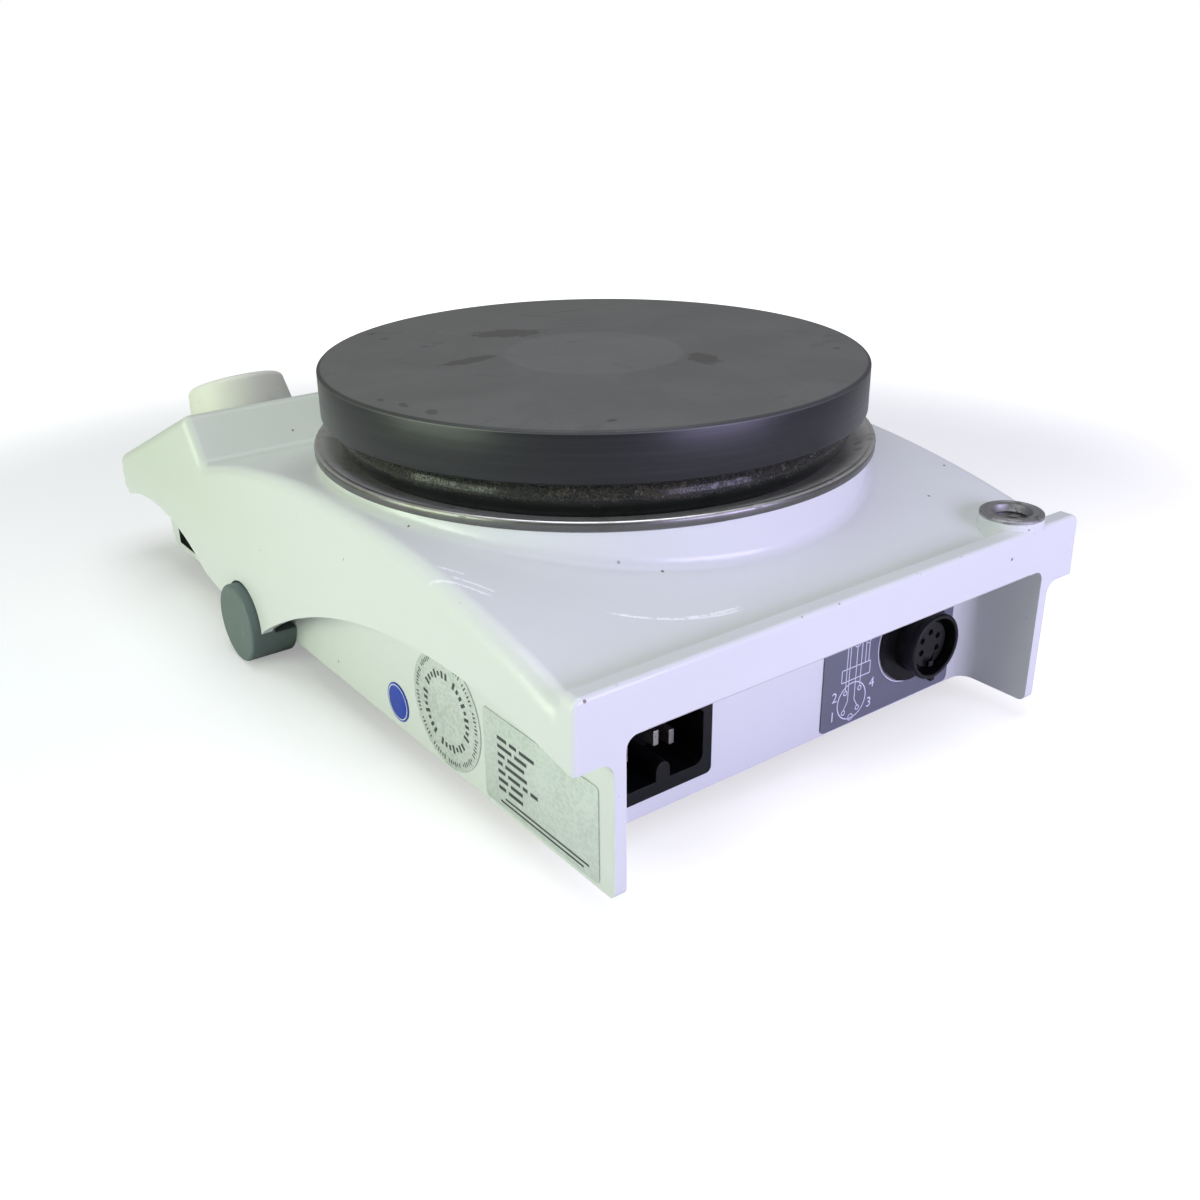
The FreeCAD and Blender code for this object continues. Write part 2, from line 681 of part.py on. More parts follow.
def cavity_outline():
    """The space between front wall and rear panel seen from the side, without its ceiling."""
    front = s.front_wall_reach - s.wall_thickness
    rear = s.rear_panel_reach - s.panel_thickness
    return [
        (rear, 0),
        (rear, s.plate_top),
        (-front, s.plate_top),
        (-front, s.wall_bottom + s.front_wall_chamfer),
        (-front + s.front_wall_chamfer * 0.6, s.wall_bottom),
        (-front + s.front_wall_chamfer * 0.6, 0),
    ]


def draft_outline(inset):
    """The skirts' spread seen from the front."""
    high = 100.0
    foot = s.skirt_half_width - inset + s.rail_top * tangent(s.side_draft)
    head = s.skirt_half_width - inset + (s.rail_top - high) * tangent(s.side_draft)
    return [(-foot, 0), (foot, 0), (head, high), (-head, high)]


def near(value, target, tolerance=0.3):
    return abs(value - target.value) < tolerance


def crosswise_edge(reach, height):
    """Picks the edge that runs across the casting at a point of its side outline."""
    def picked(edge):
        point = middle(edge)
        return abs(point.x) < 1 and near(point.y, reach, 0.7) and near(point.z, height, 0.7)
    return picked


def upper_side_edge(edge):
    """Picks the deck's and control block's edges along the skirts, up to the rail."""
    samples = [edge.valueAt(edge.FirstParameter + (edge.LastParameter - edge.FirstParameter) * step / 4)
               for step in range(5)]
    lowest = s.nose_bottom.value + s.nose_round.value - 0.1
    outside = s.skirt_half_width.value - 3
    if any(abs(point.x) < outside or point.z < lowest for point in samples):
        return False
    if samples[2].y > s.half_length.value - s.lip_thickness.value - 0.1:
        return False
    return samples[2].y < -s.ridge_reach.value + 17 or samples[2].z > s.valley_height.value - 2


def rail_end_edge(edge):
    point = middle(edge)
    return near(point.z, s.rail_top, 0.1) and near(point.y, s.half_length - s.lip_thickness / 2, 0.1)


def rail_rear_edge(edge):
    point = middle(edge)
    return near(point.y, s.half_length, 0.1) and point.z > s.rail_top.value - s.rail_height.value + 0.6


def rail_foot_edge(edge):
    point = middle(edge)
    on_rail = all(near(vertex.Point.y, s.half_length - s.lip_thickness, 0.1) for vertex in edge.Vertexes)
    low = s.lip_foot_height.value - 7 < point.z < s.lip_foot_height.value + 0.6
    return on_rail and low and abs(point.x) < s.skirt_half_width.value - 0.5


def collar_foot_edge(edge):
    point = middle(edge)
    reach = math.hypot(point.x, point.y - s.plate_centre.value)
    low = s.lip_foot_height.value < point.z < s.collar_top.value - 0.2
    return near(reach, s.collar_radius, 0.05) and low and edge.Length > 5


def casting_skin():
    """Deck, skirts, nose, rail and collar as one solid with rounded edges."""
    side = prism("casting_side", "YZ_Plane", side_outline(), s.skirt_half_width * 3)
    spread = prism("casting_spread", "XZ_Plane", draft_outline(as_size(0)), s.half_length * 3)
    skin = common("casting_block", side, spread)
    ridge_top = s.nose_top + (s.half_length - s.ridge_reach) * tangent(s.panel_slope)
    skin = round_edges("valley_round", skin, crosswise_edge(-s.valley_reach, s.valley_height), s.valley_radius)
    skin = round_edges("ridge_round", skin, crosswise_edge(-s.ridge_reach, ridge_top), s.ridge_radius)
    skin = round_edges("nose_top_round", skin, crosswise_edge(-s.half_length, s.nose_top), s.nose_top_radius)
    skin = round_edges("side_round", skin, upper_side_edge, s.side_radius, s.side_radius_rear)
    skin = round_edges("rail_end_round", skin, rail_end_edge, s.rail_end_radius)
    skin = round_edges("rail_rear_round", skin, rail_rear_edge, s.rail_edge_radius)
    skin = round_edges("rail_foot_round", skin, rail_foot_edge, s.rail_foot_radius)
    collar = cylinder("collar", s.collar_radius, s.plate_top - s.valley_height, 0, s.plate_centre,
                      s.valley_height - 12)
    skin = fuse("casting_with_collar", skin, collar)
    skin = round_edges("collar_round", skin, collar_foot_edge, s.collar_fillet)
    above = cylinder("above_collar", s.collar_radius + 6, s.plate_top, 0, s.plate_centre, s.collar_top)
    return cut("casting_outside", skin, above)


def casting_hollow():
    """The space under deck, collar and panel that opens to the table."""
    side = prism("hollow_side", "YZ_Plane", hollow_outline(), s.skirt_half_width * 3)
    spread = prism("hollow_spread", "XZ_Plane", draft_outline(s.casting_wall), s.half_length * 3)
    under = common("hollow_block", side, spread)
    return fuse("casting_hollow", under, collar_room("collar_hollow"))


def well():
    """The floor and wall that close the collar."""
    shell = cylinder("well_shell", s.collar_bore + s.casting_wall, s.collar_top - s.well_floor + s.well_thickness,
                     0, s.plate_centre, s.well_floor - s.well_thickness)
    seat = cylinder("well_seat", s.collar_radius - 0.5, s.casting_wall, 0, s.plate_centre,
                    s.collar_top - s.casting_wall)
    return fuse("well", shell, seat)


def collar_room(name):
    """The space inside the collar under its seat."""
    inside = s.collar_radius - s.casting_wall
    low = s.bracket_radius / 2
    return cylinder(name, inside, s.collar_top - s.casting_wall - low, 0, s.plate_centre, low)


def lower_walls():
    """Front wall, side walls, rear panel and the wings beside it."""
    block = prism("walls_block", "YZ_Plane", walls_outline(), s.wall_half_width * 2)
    inside = (s.wall_half_width - s.wall_thickness) * 2
    under_deck = prism("walls_under_deck", "YZ_Plane", hollow_outline(), inside)
    cavity = prism("walls_cavity", "YZ_Plane", cavity_outline(), inside)
    recess = prism("rear_recess", "XY_Plane", recess_outline(), s.plate_top * 2)
    room = common("walls_room", fuse("walls_ceiling", under_deck, collar_room("walls_collar_room")),
                  fuse("walls_plan", cavity, recess))
    return cut("lower_walls", block, room)


def recess_outline():
    """The bay behind the rear panel seen from above, rounded where the wings leave the panel."""
    half = s.wall_half_width - s.wing_thickness
    return [
        (-half + s.wing_round, s.rear_panel_reach),
        (half - s.wing_round, s.rear_panel_reach, s.wing_round, 1),
        (half, s.rear_panel_reach + s.wing_round),
        (half, s.half_length),
        (-half, s.half_length),
        (-half, s.rear_panel_reach + s.wing_round, s.wing_round, 1),
    ]


def rail_notch():
    """The opening under the rail between the wings, with rounded upper corners."""
    half = s.wall_half_width - s.wing_thickness
    top = s.rail_top - s.rail_height + s.rail_notch
    corner_round = s.rail_notch_radius
    outline = [
        (-half, 0),
        (half, 0),
        (half, top - corner_round, corner_round, 1),
        (half - corner_round, top),
        (-half + corner_round, top, corner_round, 1),
        (-half, top - corner_round),
    ]
    notch = prism("rail_notch", "XZ_Plane", outline, s.lip_thickness * 3)
    place(notch, 0, s.half_length, 0)
    return notch


def rail_gussets():
    """Rounded corners between the rail's ends and the wings' outer faces."""
    bottom = s.rail_top - s.rail_height
    inner = s.wall_half_width - s.wing_thickness / 2
    reach = s.wall_half_width + s.rail_gusset
    outline = [
        (inner, bottom - s.rail_gusset),
        (s.wall_half_width, bottom - s.rail_gusset, s.rail_gusset, -1),
        (reach, bottom),
        (reach, bottom + s.rail_notch),
        (inner, bottom + s.rail_notch),
    ]
    right = prism("rail_gusset_right", "XZ_Plane", outline, s.lip_thickness)
    place(right, 0, s.half_length - s.lip_thickness / 2, 0)
    left = doc.addObject("Part::Mirroring", "rail_gusset_left")
    left.Source = right
    left.Normal = Vector(1, 0, 0)
    return [right, left]


def rod_boss():
    """The boss for the support rod, flared at the deck and cut off flush with the rail."""
    flare = s.boss_foot_radius
    bottom = s.boss_bottom
    outline = [
        (0, bottom),
        (flare - 1.2, bottom),
        (flare, bottom + 3),
        (flare, s.lip_foot_height - 1),
        (s.boss_radius, s.lip_foot_height + 3.6),
        (s.boss_radius, s.boss_top),
        (0, s.boss_top),
    ]
    boss = turned("rod_boss_turned", outline, -s.boss_offset, s.boss_reach, 0)
    limit = box("rod_boss_limit", s.boss_radius * 6, s.boss_radius * 6, s.plate_top,
                -s.boss_offset, s.half_length - s.boss_radius * 3, 0)
    return common("rod_boss", boss, limit)


def corner(name, x, y, low, high):
    """A screw boss in a corner of the cavity."""
    return cylinder(name, s.screw_boss_radius, high - low, x, y, low)


def base_screw_points():
    """Where the base plate is screwed on."""
    return [
        (-s.base_boss_offset, -s.base_boss_front),
        (s.base_boss_offset, -s.base_boss_front),
        (-s.base_boss_offset, s.base_boss_rear),
        (s.base_boss_offset, s.base_boss_rear),
    ]


def side_sign(name, size):
    """The same size on the left and on the right."""
    return [(f"{name}_left", -size), (f"{name}_right", size)]


def housing():
    solid = cut("casting_shell", casting_skin(), casting_hollow())
    additions = [well(), lower_walls(), rod_boss(), *rail_gussets()]
    top_of_base = s.wall_bottom + s.base_sheet
    for index, (x, y) in enumerate(base_screw_points()):
        additions.append(corner(f"base_boss_{index + 1}", x, y, top_of_base, s.valley_height - 12))
    solid = fuse("casting_solid", solid, *additions)
    openings = [
        cylinder("well_pocket", s.collar_bore, s.plate_thickness, 0, s.plate_centre, s.well_floor),
        cylinder("bush_hole", s.bush_radius, s.rail_top, -s.boss_offset, s.boss_reach,
                 s.boss_top - s.bush_length),
        cylinder("probe_hole_in_floor", s.probe_radius, s.well_thickness * 3, s.post_pitch / 3, s.plate_centre,
                 s.well_floor - s.well_thickness * 2),
    ]
    openings += around("post_hole", 3, s.post_pitch.value, well_screw_hole, 0, s.plate_centre, 90)
    for name, sign in side_sign("foot_recess", as_size(1)):
        openings.append(foot_recess(name, sign))
        openings.append(foot_screw_hole(f"{name}_screw", sign))
        openings.append(side_window(f"{name}_window", sign))
    for index, (x, y) in enumerate(base_screw_points()):
        openings.append(cylinder(f"base_pilot_{index + 1}", s.base_screw, s.base_head * 4, x, y, top_of_base - 1))
    openings += [rail_notch()] + rear_openings() + panel_openings()
    solid = cut("housing", solid, *openings)
    return solid


def well_screw_hole(name, x, y):
    return cylinder(name, s.post_screw, s.well_thickness * 3, x, y, s.well_floor - s.well_thickness * 2)


def foot_recess(name, sign):
    """Room for the front foot's disc in the skirt."""
    depth = s.skirt_half_width * 0.2
    start = sign * (s.wall_half_width + 1)
    if sign.value < 0:
        start = start - depth
    return cylinder(name, s.foot_radius + s.foot_gap, depth, start, -s.foot_reach, s.foot_radius, ALONG_X)


def foot_screw_hole(name, sign):
    depth = s.wall_thickness * 3
    start = sign * s.wall_half_width - depth / 2
    return cylinder(name, s.foot_screw, depth, start, -s.foot_reach, s.foot_flat * 0.75, ALONG_X)


def side_window(name, sign):
    length = s.window_front - s.window_rear
    return box(name, s.wall_thickness * 3, length, s.window_high - s.window_low, sign * s.wall_half_width,
               -(s.window_front + s.window_rear) / 2, s.window_low)


def rear_openings():
    """Cut-outs for inlet and sensor socket, and the inlet flange's recess."""
    through = s.panel_thickness * 3
    inlet = box("inlet_cut", s.inlet_cut_half_width * 2, through, s.inlet_cut_half_height * 2,
                s.inlet_offset, s.rear_panel_reach - s.panel_thickness, s.inlet_height - s.inlet_cut_half_height)
    depth = s.inlet_flange - s.inlet_proud
    edge = rounded_outline(s.inlet_half_width, s.inlet_half_height, s.inlet_offset, s.inlet_height,
                           s.inlet_corner + s.inlet_fit)
    recess = prism("inlet_recess", "XZ_Plane", edge, depth * 2)
    place(recess, 0, s.rear_panel_reach, 0)
    socket = cylinder("socket_hole", s.socket_bore, through, -s.socket_offset,
                      s.rear_panel_reach - s.panel_thickness * 2, s.socket_height, ALONG_Y)
    return [inlet, recess, socket]


def panel_openings():
    """Recess for the overlay, and the holes behind it."""
    deep = s.casting_wall * 3
    inset = s.overlay_sheet - s.overlay_proud
    middle_up = (s.overlay_low + s.overlay_high) / 2
    holes = [panel_box("overlay_recess", s.overlay_half_width * 2, s.overlay_high - s.overlay_low, deep, 0,
                       middle_up, -inset)]
    for name, x in side_sign("pot_hole", s.knob_offset):
        holes.append(panel_cylinder(name, s.pot_bush, deep * 2, x, s.knob_up, -deep))
    for name, x in side_sign("lamp_hole", s.lamp_offset):
        holes.append(panel_cylinder(name, s.lamp_radius, deep * 2, x, s.rocker_up, -deep))
    holes.append(panel_box("rocker_hole", s.rocker_half_length * 2 + s.rocker_frame_border,
                           s.rocker_half_width * 2 + s.rocker_frame_border, deep * 2, 0, s.rocker_up, -deep))
    window_up = (s.window_bottom_up + s.window_top_up) / 2
    holes.append(panel_box("display_hole", s.window_half_width * 2, s.window_top_up - s.window_bottom_up,
                           deep * 2, 0, window_up, -deep))
    return holes


# Heating plate and what is under it

def heating_plate():
    """The plate with a chamfered edge, a groove for the heater and blind holes from below."""
    bottom = s.plate_top - s.plate_thickness
    outline = [
        (0, bottom),
        (s.heater_pitch - s.heater_groove, bottom),
        (s.heater_pitch - s.heater_groove, bottom + s.heater_groove),
        (s.heater_pitch + s.heater_groove, bottom + s.heater_groove),
        (s.heater_pitch + s.heater_groove, bottom),
        (s.plate_radius - s.plate_edge, bottom),
        (s.plate_radius, bottom + s.plate_edge),
        (s.plate_radius, s.plate_top - s.plate_edge),
        (s.plate_radius - s.plate_edge, s.plate_top),
        (0, s.plate_top),
    ]
    blank = turned("plate_blank", outline, 0, s.plate_centre, 0)
    holes = around("plate_hole", 3, s.post_pitch.value, plate_hole, 0, s.plate_centre, 90)
    holes += around("clamp_hole", 3, clamp_screw_pitch().value, clamp_hole, 0, s.plate_centre, 30)
    probe = cylinder("probe_hole", s.probe_radius, s.plate_thickness * 0.7, s.post_pitch / 3, s.plate_centre,
                     s.plate_top - s.plate_thickness)
    return cut("heating_plate", blank, probe, *holes)


def plate_hole(name, x, y):
    return cylinder(name, s.post_screw, s.plate_thickness * 0.5, x, y, s.plate_top - s.plate_thickness)


def clamp_screw_pitch():
    return s.heater_pitch - s.heater_groove - s.base_head - 1.0


def clamp_hole(name, x, y):
    return cylinder(name, s.base_screw, s.plate_thickness * 0.45, x, y, s.plate_top - s.plate_thickness)


def heater_element():
    """The ring-shaped tube, half in the plate's groove."""
    return torus("heater_element", s.heater_pitch, s.heater_tube, 0, s.plate_centre,
                 s.plate_top - s.plate_thickness)


def clamp_bottom():
    return s.plate_top - s.plate_thickness - s.heater_tube - s.clamp_sheet


def heater_clamp():
    """A cupped ring that presses the heater into the plate."""
    low = clamp_bottom()
    top = s.plate_top - s.plate_thickness
    inner = clamp_screw_pitch() - 3.2
    outline = [
        (inner, top - s.clamp_sheet),
        (s.heater_pitch - s.heater_tube - s.clamp_sheet - 0.1, top - s.clamp_sheet),
        (s.heater_pitch - s.heater_tube - s.clamp_sheet - 0.1, low),
        (s.heater_pitch + s.heater_tube, low),
        (s.heater_pitch + s.heater_tube, low + s.clamp_sheet),
        (s.heater_pitch - s.heater_tube - 0.1, low + s.clamp_sheet),
        (s.heater_pitch - s.heater_tube - 0.1, top),
        (inner, top),
    ]
    ring = turned("clamp_ring", outline, 0, s.plate_centre, 0)
    holes = around("clamp_ring_hole", 3, clamp_screw_pitch().value, clamp_ring_hole, 0, s.plate_centre, 30)
    return cut("heater_clamp", ring, *holes)


def clamp_ring_hole(name, x, y):
    return cylinder(name, s.base_screw, s.clamp_sheet * 3, x, y,
                    s.plate_top - s.plate_thickness - s.clamp_sheet * 2)


def screw(name, radius, length, head_radius, x, y, top_of_head, upward):
    """A small pan head screw along Z. Its shank points up or down from the head's seat."""
    if upward:
        shank = cylinder(f"{name}_shank", radius, length, x, y, top_of_head)
        head = cylinder(f"{name}_head", head_radius, s.head_height, x, y, top_of_head - s.head_height)
    else:
        shank = cylinder(f"{name}_shank", radius, length, x, y, top_of_head - length)
        head = cylinder(f"{name}_head", head_radius, s.head_height, x, y, top_of_head)
    return fuse(name, shank, head)


def clamp_screw(name, x, y):
    seat = s.plate_top - s.plate_thickness - s.clamp_sheet
    return screw(name, s.base_screw, s.plate_thickness * 0.45 + s.clamp_sheet - 0.4, s.base_head * 0.9, x, y,
                 seat, True)


def clamp_screws():
    return group("clamp_screws", *around("clamp_screw", 3, clamp_screw_pitch().value, clamp_screw, 0,
                                         s.plate_centre, 30))


def insulating_ring():
    """The rounded ring between drip tray and plate."""
    bottom = s.collar_top + s.tray_sheet
    top = s.plate_top - s.plate_thickness
    outer_round = (top - bottom) / 2 + s.ring_flatness
    outline = [
        (s.ring_bore, bottom),
        (s.ring_foot_radius, bottom, outer_round, 1),
        (s.ring_radius - 4.0, top),
        (s.ring_bore, top),
    ]
    return turned("insulating_ring", outline, 0, s.plate_centre, 0)


def drip_tray():
    """The dish on the collar, its rim rolled down."""
    low = s.collar_top
    sheet = s.tray_sheet
    rim = low + sheet + s.tray_rise
    outline = [
        (s.tray_bore, low),
        (s.tray_floor_radius, low),
        (s.tray_radius - 1.0, rim - sheet),
        (s.tray_radius - sheet, rim - sheet - 0.3),
        (s.tray_radius - sheet, rim - s.tray_rim),
        (s.tray_radius, rim - s.tray_rim),
        (s.tray_radius, rim - 0.7, 0.8, 1),
        (s.tray_radius - 0.9, rim),
        (s.tray_floor_radius, low + sheet),
        (s.tray_bore, low + sheet),
    ]
    return turned("drip_tray", outline, 0, s.plate_centre, 0)


def heat_shield():
    """A thin reflecting disc on the tray."""
    low = s.collar_top + s.tray_sheet
    disc = cylinder("shield_disc", s.ring_bore - 0.4, s.shield_sheet, 0, s.plate_centre, low)
    holes = around("shield_hole", 3, s.post_pitch.value, shield_hole, 0, s.plate_centre, 90)
    return cut("heat_shield", disc, probe_room("shield_probe"), *holes)


def shield_hole(name, x, y):
    return cylinder(name, s.post_radius + 0.3, s.plate_thickness, x, y, s.collar_top - 1)


def probe_room(name):
    return cylinder(name, s.probe_radius + 0.4, s.plate_thickness, s.post_pitch / 3, s.plate_centre,
                    s.collar_top - 1)


def insulation_disc():
    """Mineral wool between shield and heater."""
    low = s.collar_top + s.tray_sheet + s.shield_sheet
    disc = cylinder("wool_disc", s.ring_bore - 0.4, s.insulation_thickness, 0, s.plate_centre, low)
    holes = around("wool_hole", 3, s.post_pitch.value, shield_hole, 0, s.plate_centre, 90)
    return cut("insulation_disc", disc, probe_room("wool_probe"), *holes)


def plate_post(name, x, y):
    height = s.plate_top - s.plate_thickness - s.well_floor
    tube = cylinder(f"{name}_tube", s.post_radius, height, x, y, s.well_floor)
    bore = cylinder(f"{name}_bore", s.post_screw, height, x, y, s.well_floor)
    return cut(name, tube, bore)


def plate_posts():
    return group("plate_posts", *around("plate_post", 3, s.post_pitch.value, plate_post, 0, s.plate_centre, 90))


def plate_screw(name, x, y):
    seat = s.well_floor - s.well_thickness
    length = s.plate_top - s.plate_thickness - seat + s.plate_thickness * 0.5 - 0.5
    return screw(name, s.post_screw, length, s.base_head, x, y, seat, True)


def plate_screws():
    return group("plate_screws", *around("plate_screw", 3, s.post_pitch.value, plate_screw, 0, s.plate_centre, 90))


def plate_sensor():
    """The probe that stands in the floor and reaches into the plate."""
    bottom = s.well_floor - s.well_thickness
    rod = cylinder("probe_rod", s.probe_radius, s.plate_top - s.plate_thickness * 0.35 - bottom, s.post_pitch / 3,
                   s.plate_centre, bottom)
    nut = cylinder("probe_collar", s.probe_radius * 2, s.well_thickness * 0.6, s.post_pitch / 3, s.plate_centre,
                   s.well_floor)
    return fuse("plate_sensor", rod, nut)


# Rod bush and feet

def rod_insert():
    """The threaded bush for the support rod."""
    top = s.boss_top + s.bush_flange
    bottom = s.boss_top - s.bush_length
    outline = [
        (s.thread_radius, bottom),
        (s.bush_radius, bottom),
        (s.bush_radius, s.boss_top),
        (s.boss_radius - 0.2, s.boss_top),
        (s.boss_radius - 0.2, top - 0.25),
        (s.boss_radius - 0.45, top),
        (s.thread_radius + s.thread_chamfer, top),
        (s.thread_radius, top - s.thread_chamfer),
    ]
    return turned("rod_insert", outline, -s.boss_offset, s.boss_reach, 0)


def front_foot(name, sign):
    """A disc with a half-round bar to the wall. Its face points outwards."""
    length = s.foot_face - s.wall_half_width
    rim = 1.0
    outline = [
        (0, 0),
        (s.foot_radius, 0),
        (s.foot_radius, length - rim, 1.0, 1),
        (s.foot_radius - rim, length),
        (0, length),
    ]
    disc = turned(f"{name}_disc", outline)
    turn = ALONG_X if sign.value > 0 else Rotation(Vector(0, 1, 0), -90)
    place(disc, sign * s.wall_half_width, -s.foot_reach, s.foot_radius, turn)
    room = length - s.foot_disc
    void = box(f"{name}_void", room, s.foot_radius * 3, s.foot_radius * 2,
               sign * (s.wall_half_width + room / 2), -s.foot_reach, s.foot_flat)
    hole = cylinder(f"{name}_hole", s.foot_screw, length * 1.2, sign * s.wall_half_width - length * 0.6,
                    -s.foot_reach, s.foot_flat * 0.75, ALONG_X)
    return cut(name, disc, void, hole)


def front_foot_screw(name, sign):
    """The screw from inside the wall into the foot's bar."""
    length = s.foot_face - s.wall_half_width
    reach = length * 0.55 + s.wall_thickness
    inside = s.wall_half_width - s.wall_thickness
    start = sign * inside
    if sign.value < 0:
        start = start - reach
        head_start = sign * inside
    else:
        head_start = sign * inside - s.head_height
    shank = cylinder(f"{name}_shank", s.foot_screw, reach, start, -s.foot_reach, s.foot_flat * 0.75, ALONG_X)
    head = cylinder(f"{name}_head", s.foot_screw * 1.6, s.head_height, head_start, -s.foot_reach,
                    s.foot_flat * 0.75, ALONG_X)
    return fuse(name, shank, head)


def rear_foot(name, sign):
    """A soft tapered foot under the base plate."""
    outline = [
        (s.base_screw + 0.1, 3.4),
        (s.base_head + 0.4, 3.4),
        (s.base_head + 0.4, 0),
        (s.rear_foot_tread - 0.6, 0),
        (s.rear_foot_tread, 0.6),
        (s.rear_foot_radius, s.wall_bottom),
        (s.base_screw + 0.1, s.wall_bottom),
    ]
    return turned(name, outline, sign * s.rear_foot_offset, s.rear_foot_reach, 0)


def foot_screws():
    """Two screws through the walls into the front feet, two through the rear feet into the base."""
    screws = [front_foot_screw(name, sign) for name, sign in side_sign("front_foot_screw", as_size(1))]
    for name, x in side_sign("rear_foot_screw", s.rear_foot_offset):
        screws.append(screw(name, s.base_screw, s.wall_bottom + s.base_sheet, s.base_head, x, s.rear_foot_reach,
                            3.4, True))
    return group("foot_screws", *screws)


def base_plate():
    """The sheet that closes the casting, with vent slots, screw holes and notches for the foot screws."""
    half = s.wall_half_width - s.wall_thickness - s.base_gap
    front = s.front_wall_reach - s.front_wall_chamfer * 0.6 - s.wall_thickness - s.base_gap
    rear = s.rear_panel_reach - s.panel_thickness - s.base_gap
    blank = box("base_blank", half * 2, front + rear, s.base_sheet, 0, (rear - front) / 2, s.wall_bottom)
    tools = []
    for index, (x, y) in enumerate(base_screw_points()):
        tools.append(cylinder(f"base_hole_{index + 1}", s.base_screw, s.base_sheet * 3, x, y, s.wall_bottom - 1))
    for name, x in side_sign("rear_foot_hole", s.rear_foot_offset):
        tools.append(cylinder(name, s.base_screw, s.base_sheet * 3, x, s.rear_foot_reach, s.wall_bottom - 1))
    for name, x in side_sign("foot_notch", half):
        tools.append(box(name, s.foot_screw * 4, s.foot_screw * 5, s.base_sheet * 3, x, -s.foot_reach,
                         s.wall_bottom - 1))
    for index in range(7):
        across = (index - 3) * s.vent_pitch
        tools.append(box(f"vent_front_{index + 1}", s.vent_width, s.vent_length, s.base_sheet * 3, across,
                         s.plate_centre - s.vent_front, s.wall_bottom - 1))
        tools.append(box(f"vent_rear_{index + 1}", s.vent_width, s.vent_length_rear, s.base_sheet * 3, across,
                         s.plate_centre + s.vent_rear, s.wall_bottom - 1))
    return cut("base_plate", blank, *tools)


def base_screws():
    screws = []
    for index, (x, y) in enumerate(base_screw_points()):
        screws.append(screw(f"base_screw_{index + 1}", s.base_screw, s.base_head * 3, s.base_head, x, y,
                            s.wall_bottom, True))
    return group("base_screws", *screws)


# Stirring drive, on the plate's axis

def on_axis(name, radius, low, high):
    return cylinder(name, radius, high - low, 0, s.plate_centre, low)


def motor_can():
    """The can with seats for both bearings."""
    low = s.motor_bottom
    high = s.motor_top
    wall = s.can_wall
    seat = s.bearing_radius
    outline = [
        (s.shaft_radius - 1, low),
        (s.motor_radius, low),
        (s.motor_radius, high),
        (s.shaft_radius + 1, high),
        (s.shaft_radius + 1, high - wall),
        (seat, high - wall),
        (seat, high - wall - s.bearing_width),
        (seat + wall, high - wall - s.bearing_width),
        (seat + wall, high - wall),
        (s.motor_radius - wall, high - wall),
        (s.motor_radius - wall, low + wall),
        (seat + wall, low + wall),
        (seat + wall, low + wall + s.bearing_width),
        (seat, low + wall + s.bearing_width),
        (seat, low + wall),
        (s.shaft_radius - 1, low + wall),
    ]
    return turned("motor_can", outline, 0, s.plate_centre, 0)


def stack_bottom():
    return (s.motor_bottom + s.motor_top) / 2 - s.rotor_length / 2


def motor_stator():
    """The laminated ring with twelve slots."""
    low = stack_bottom()
    ring = on_axis("stator_ring", s.motor_radius - s.can_wall, low, low + s.rotor_length)
    bore = on_axis("stator_bore", s.rotor_radius + s.air_gap, low - 1, low + s.rotor_length + 1)
    slots = around("stator_slot", 12, s.rotor_radius.value + 5.2, stator_slot, 0, s.plate_centre)
    return cut("motor_stator", ring, bore, *slots)


def stator_slot(name, x, y):
    return cylinder(name, s.pivot_radius * 1.7, s.rotor_length + 2, x, y, stack_bottom() - 1)


def motor_rotor():
    low = stack_bottom()
    ring = on_axis("rotor_ring", s.rotor_radius, low, low + s.rotor_length)
    bore = on_axis("rotor_bore", s.shaft_radius, low - 1, low + s.rotor_length + 1)
    return cut("motor_rotor", ring, bore)


def motor_shaft():
    flat = box("shaft_flat", s.shaft_radius * 2, s.shaft_radius * 2, s.carrier_thickness, 0,
               s.plate_centre + s.shaft_radius * 1.8, s.shaft_top - s.carrier_thickness)
    rod = on_axis("shaft_rod", s.shaft_radius, s.shaft_bottom, s.shaft_top)
    return cut("motor_shaft", rod, flat)


def bearings():
    """Two equal ball bearings."""
    width = s.bearing_width
    lower = s.motor_bottom + s.can_wall
    upper = s.motor_top - s.can_wall - width
    rings = []
    for name, low in (("bearing_lower", lower), ("bearing_upper", upper)):
        ring = on_axis(f"{name}_ring", s.bearing_radius, low, low + width)
        bore = on_axis(f"{name}_bore", s.shaft_radius + s.running_gap, low - 1, low + width + 1)
        rings.append(cut(name, ring, bore))
    return group("bearings", *rings)


def motor_bracket():
    """The three-armed plate that carries the motor under the well."""
    disc = on_axis("bracket_disc", s.bracket_radius, s.motor_top, s.motor_top + s.bracket_sheet)
    bore = on_axis("bracket_bore", s.shaft_radius + 3, s.motor_top - 1, s.motor_top + s.bracket_sheet + 1)
    holes = around("bracket_hole", 3, s.standoff_pitch.value, bracket_hole, 0, s.plate_centre, 30)
    lightening = around("bracket_window", 3, s.standoff_pitch.value - 14, bracket_window, 0, s.plate_centre, 90)
    return cut("motor_bracket", disc, bore, *holes, *lightening)


def bracket_hole(name, x, y):
    return cylinder(name, s.base_screw, s.bracket_sheet * 3, x, y, s.motor_top - s.bracket_sheet)


def bracket_window(name, x, y):
    return cylinder(name, s.bearing_radius, s.bracket_sheet * 3, x, y, s.motor_top - s.bracket_sheet)


def standoff(name, x, y):
    low = s.motor_top + s.bracket_sheet
    height = s.well_floor - s.well_thickness - low
    tube = cylinder(f"{name}_tube", s.standoff_radius, height, x, y, low)
    bore = cylinder(f"{name}_bore", s.base_screw, height * 0.7, x, y, low)
    return cut(name, tube, bore)


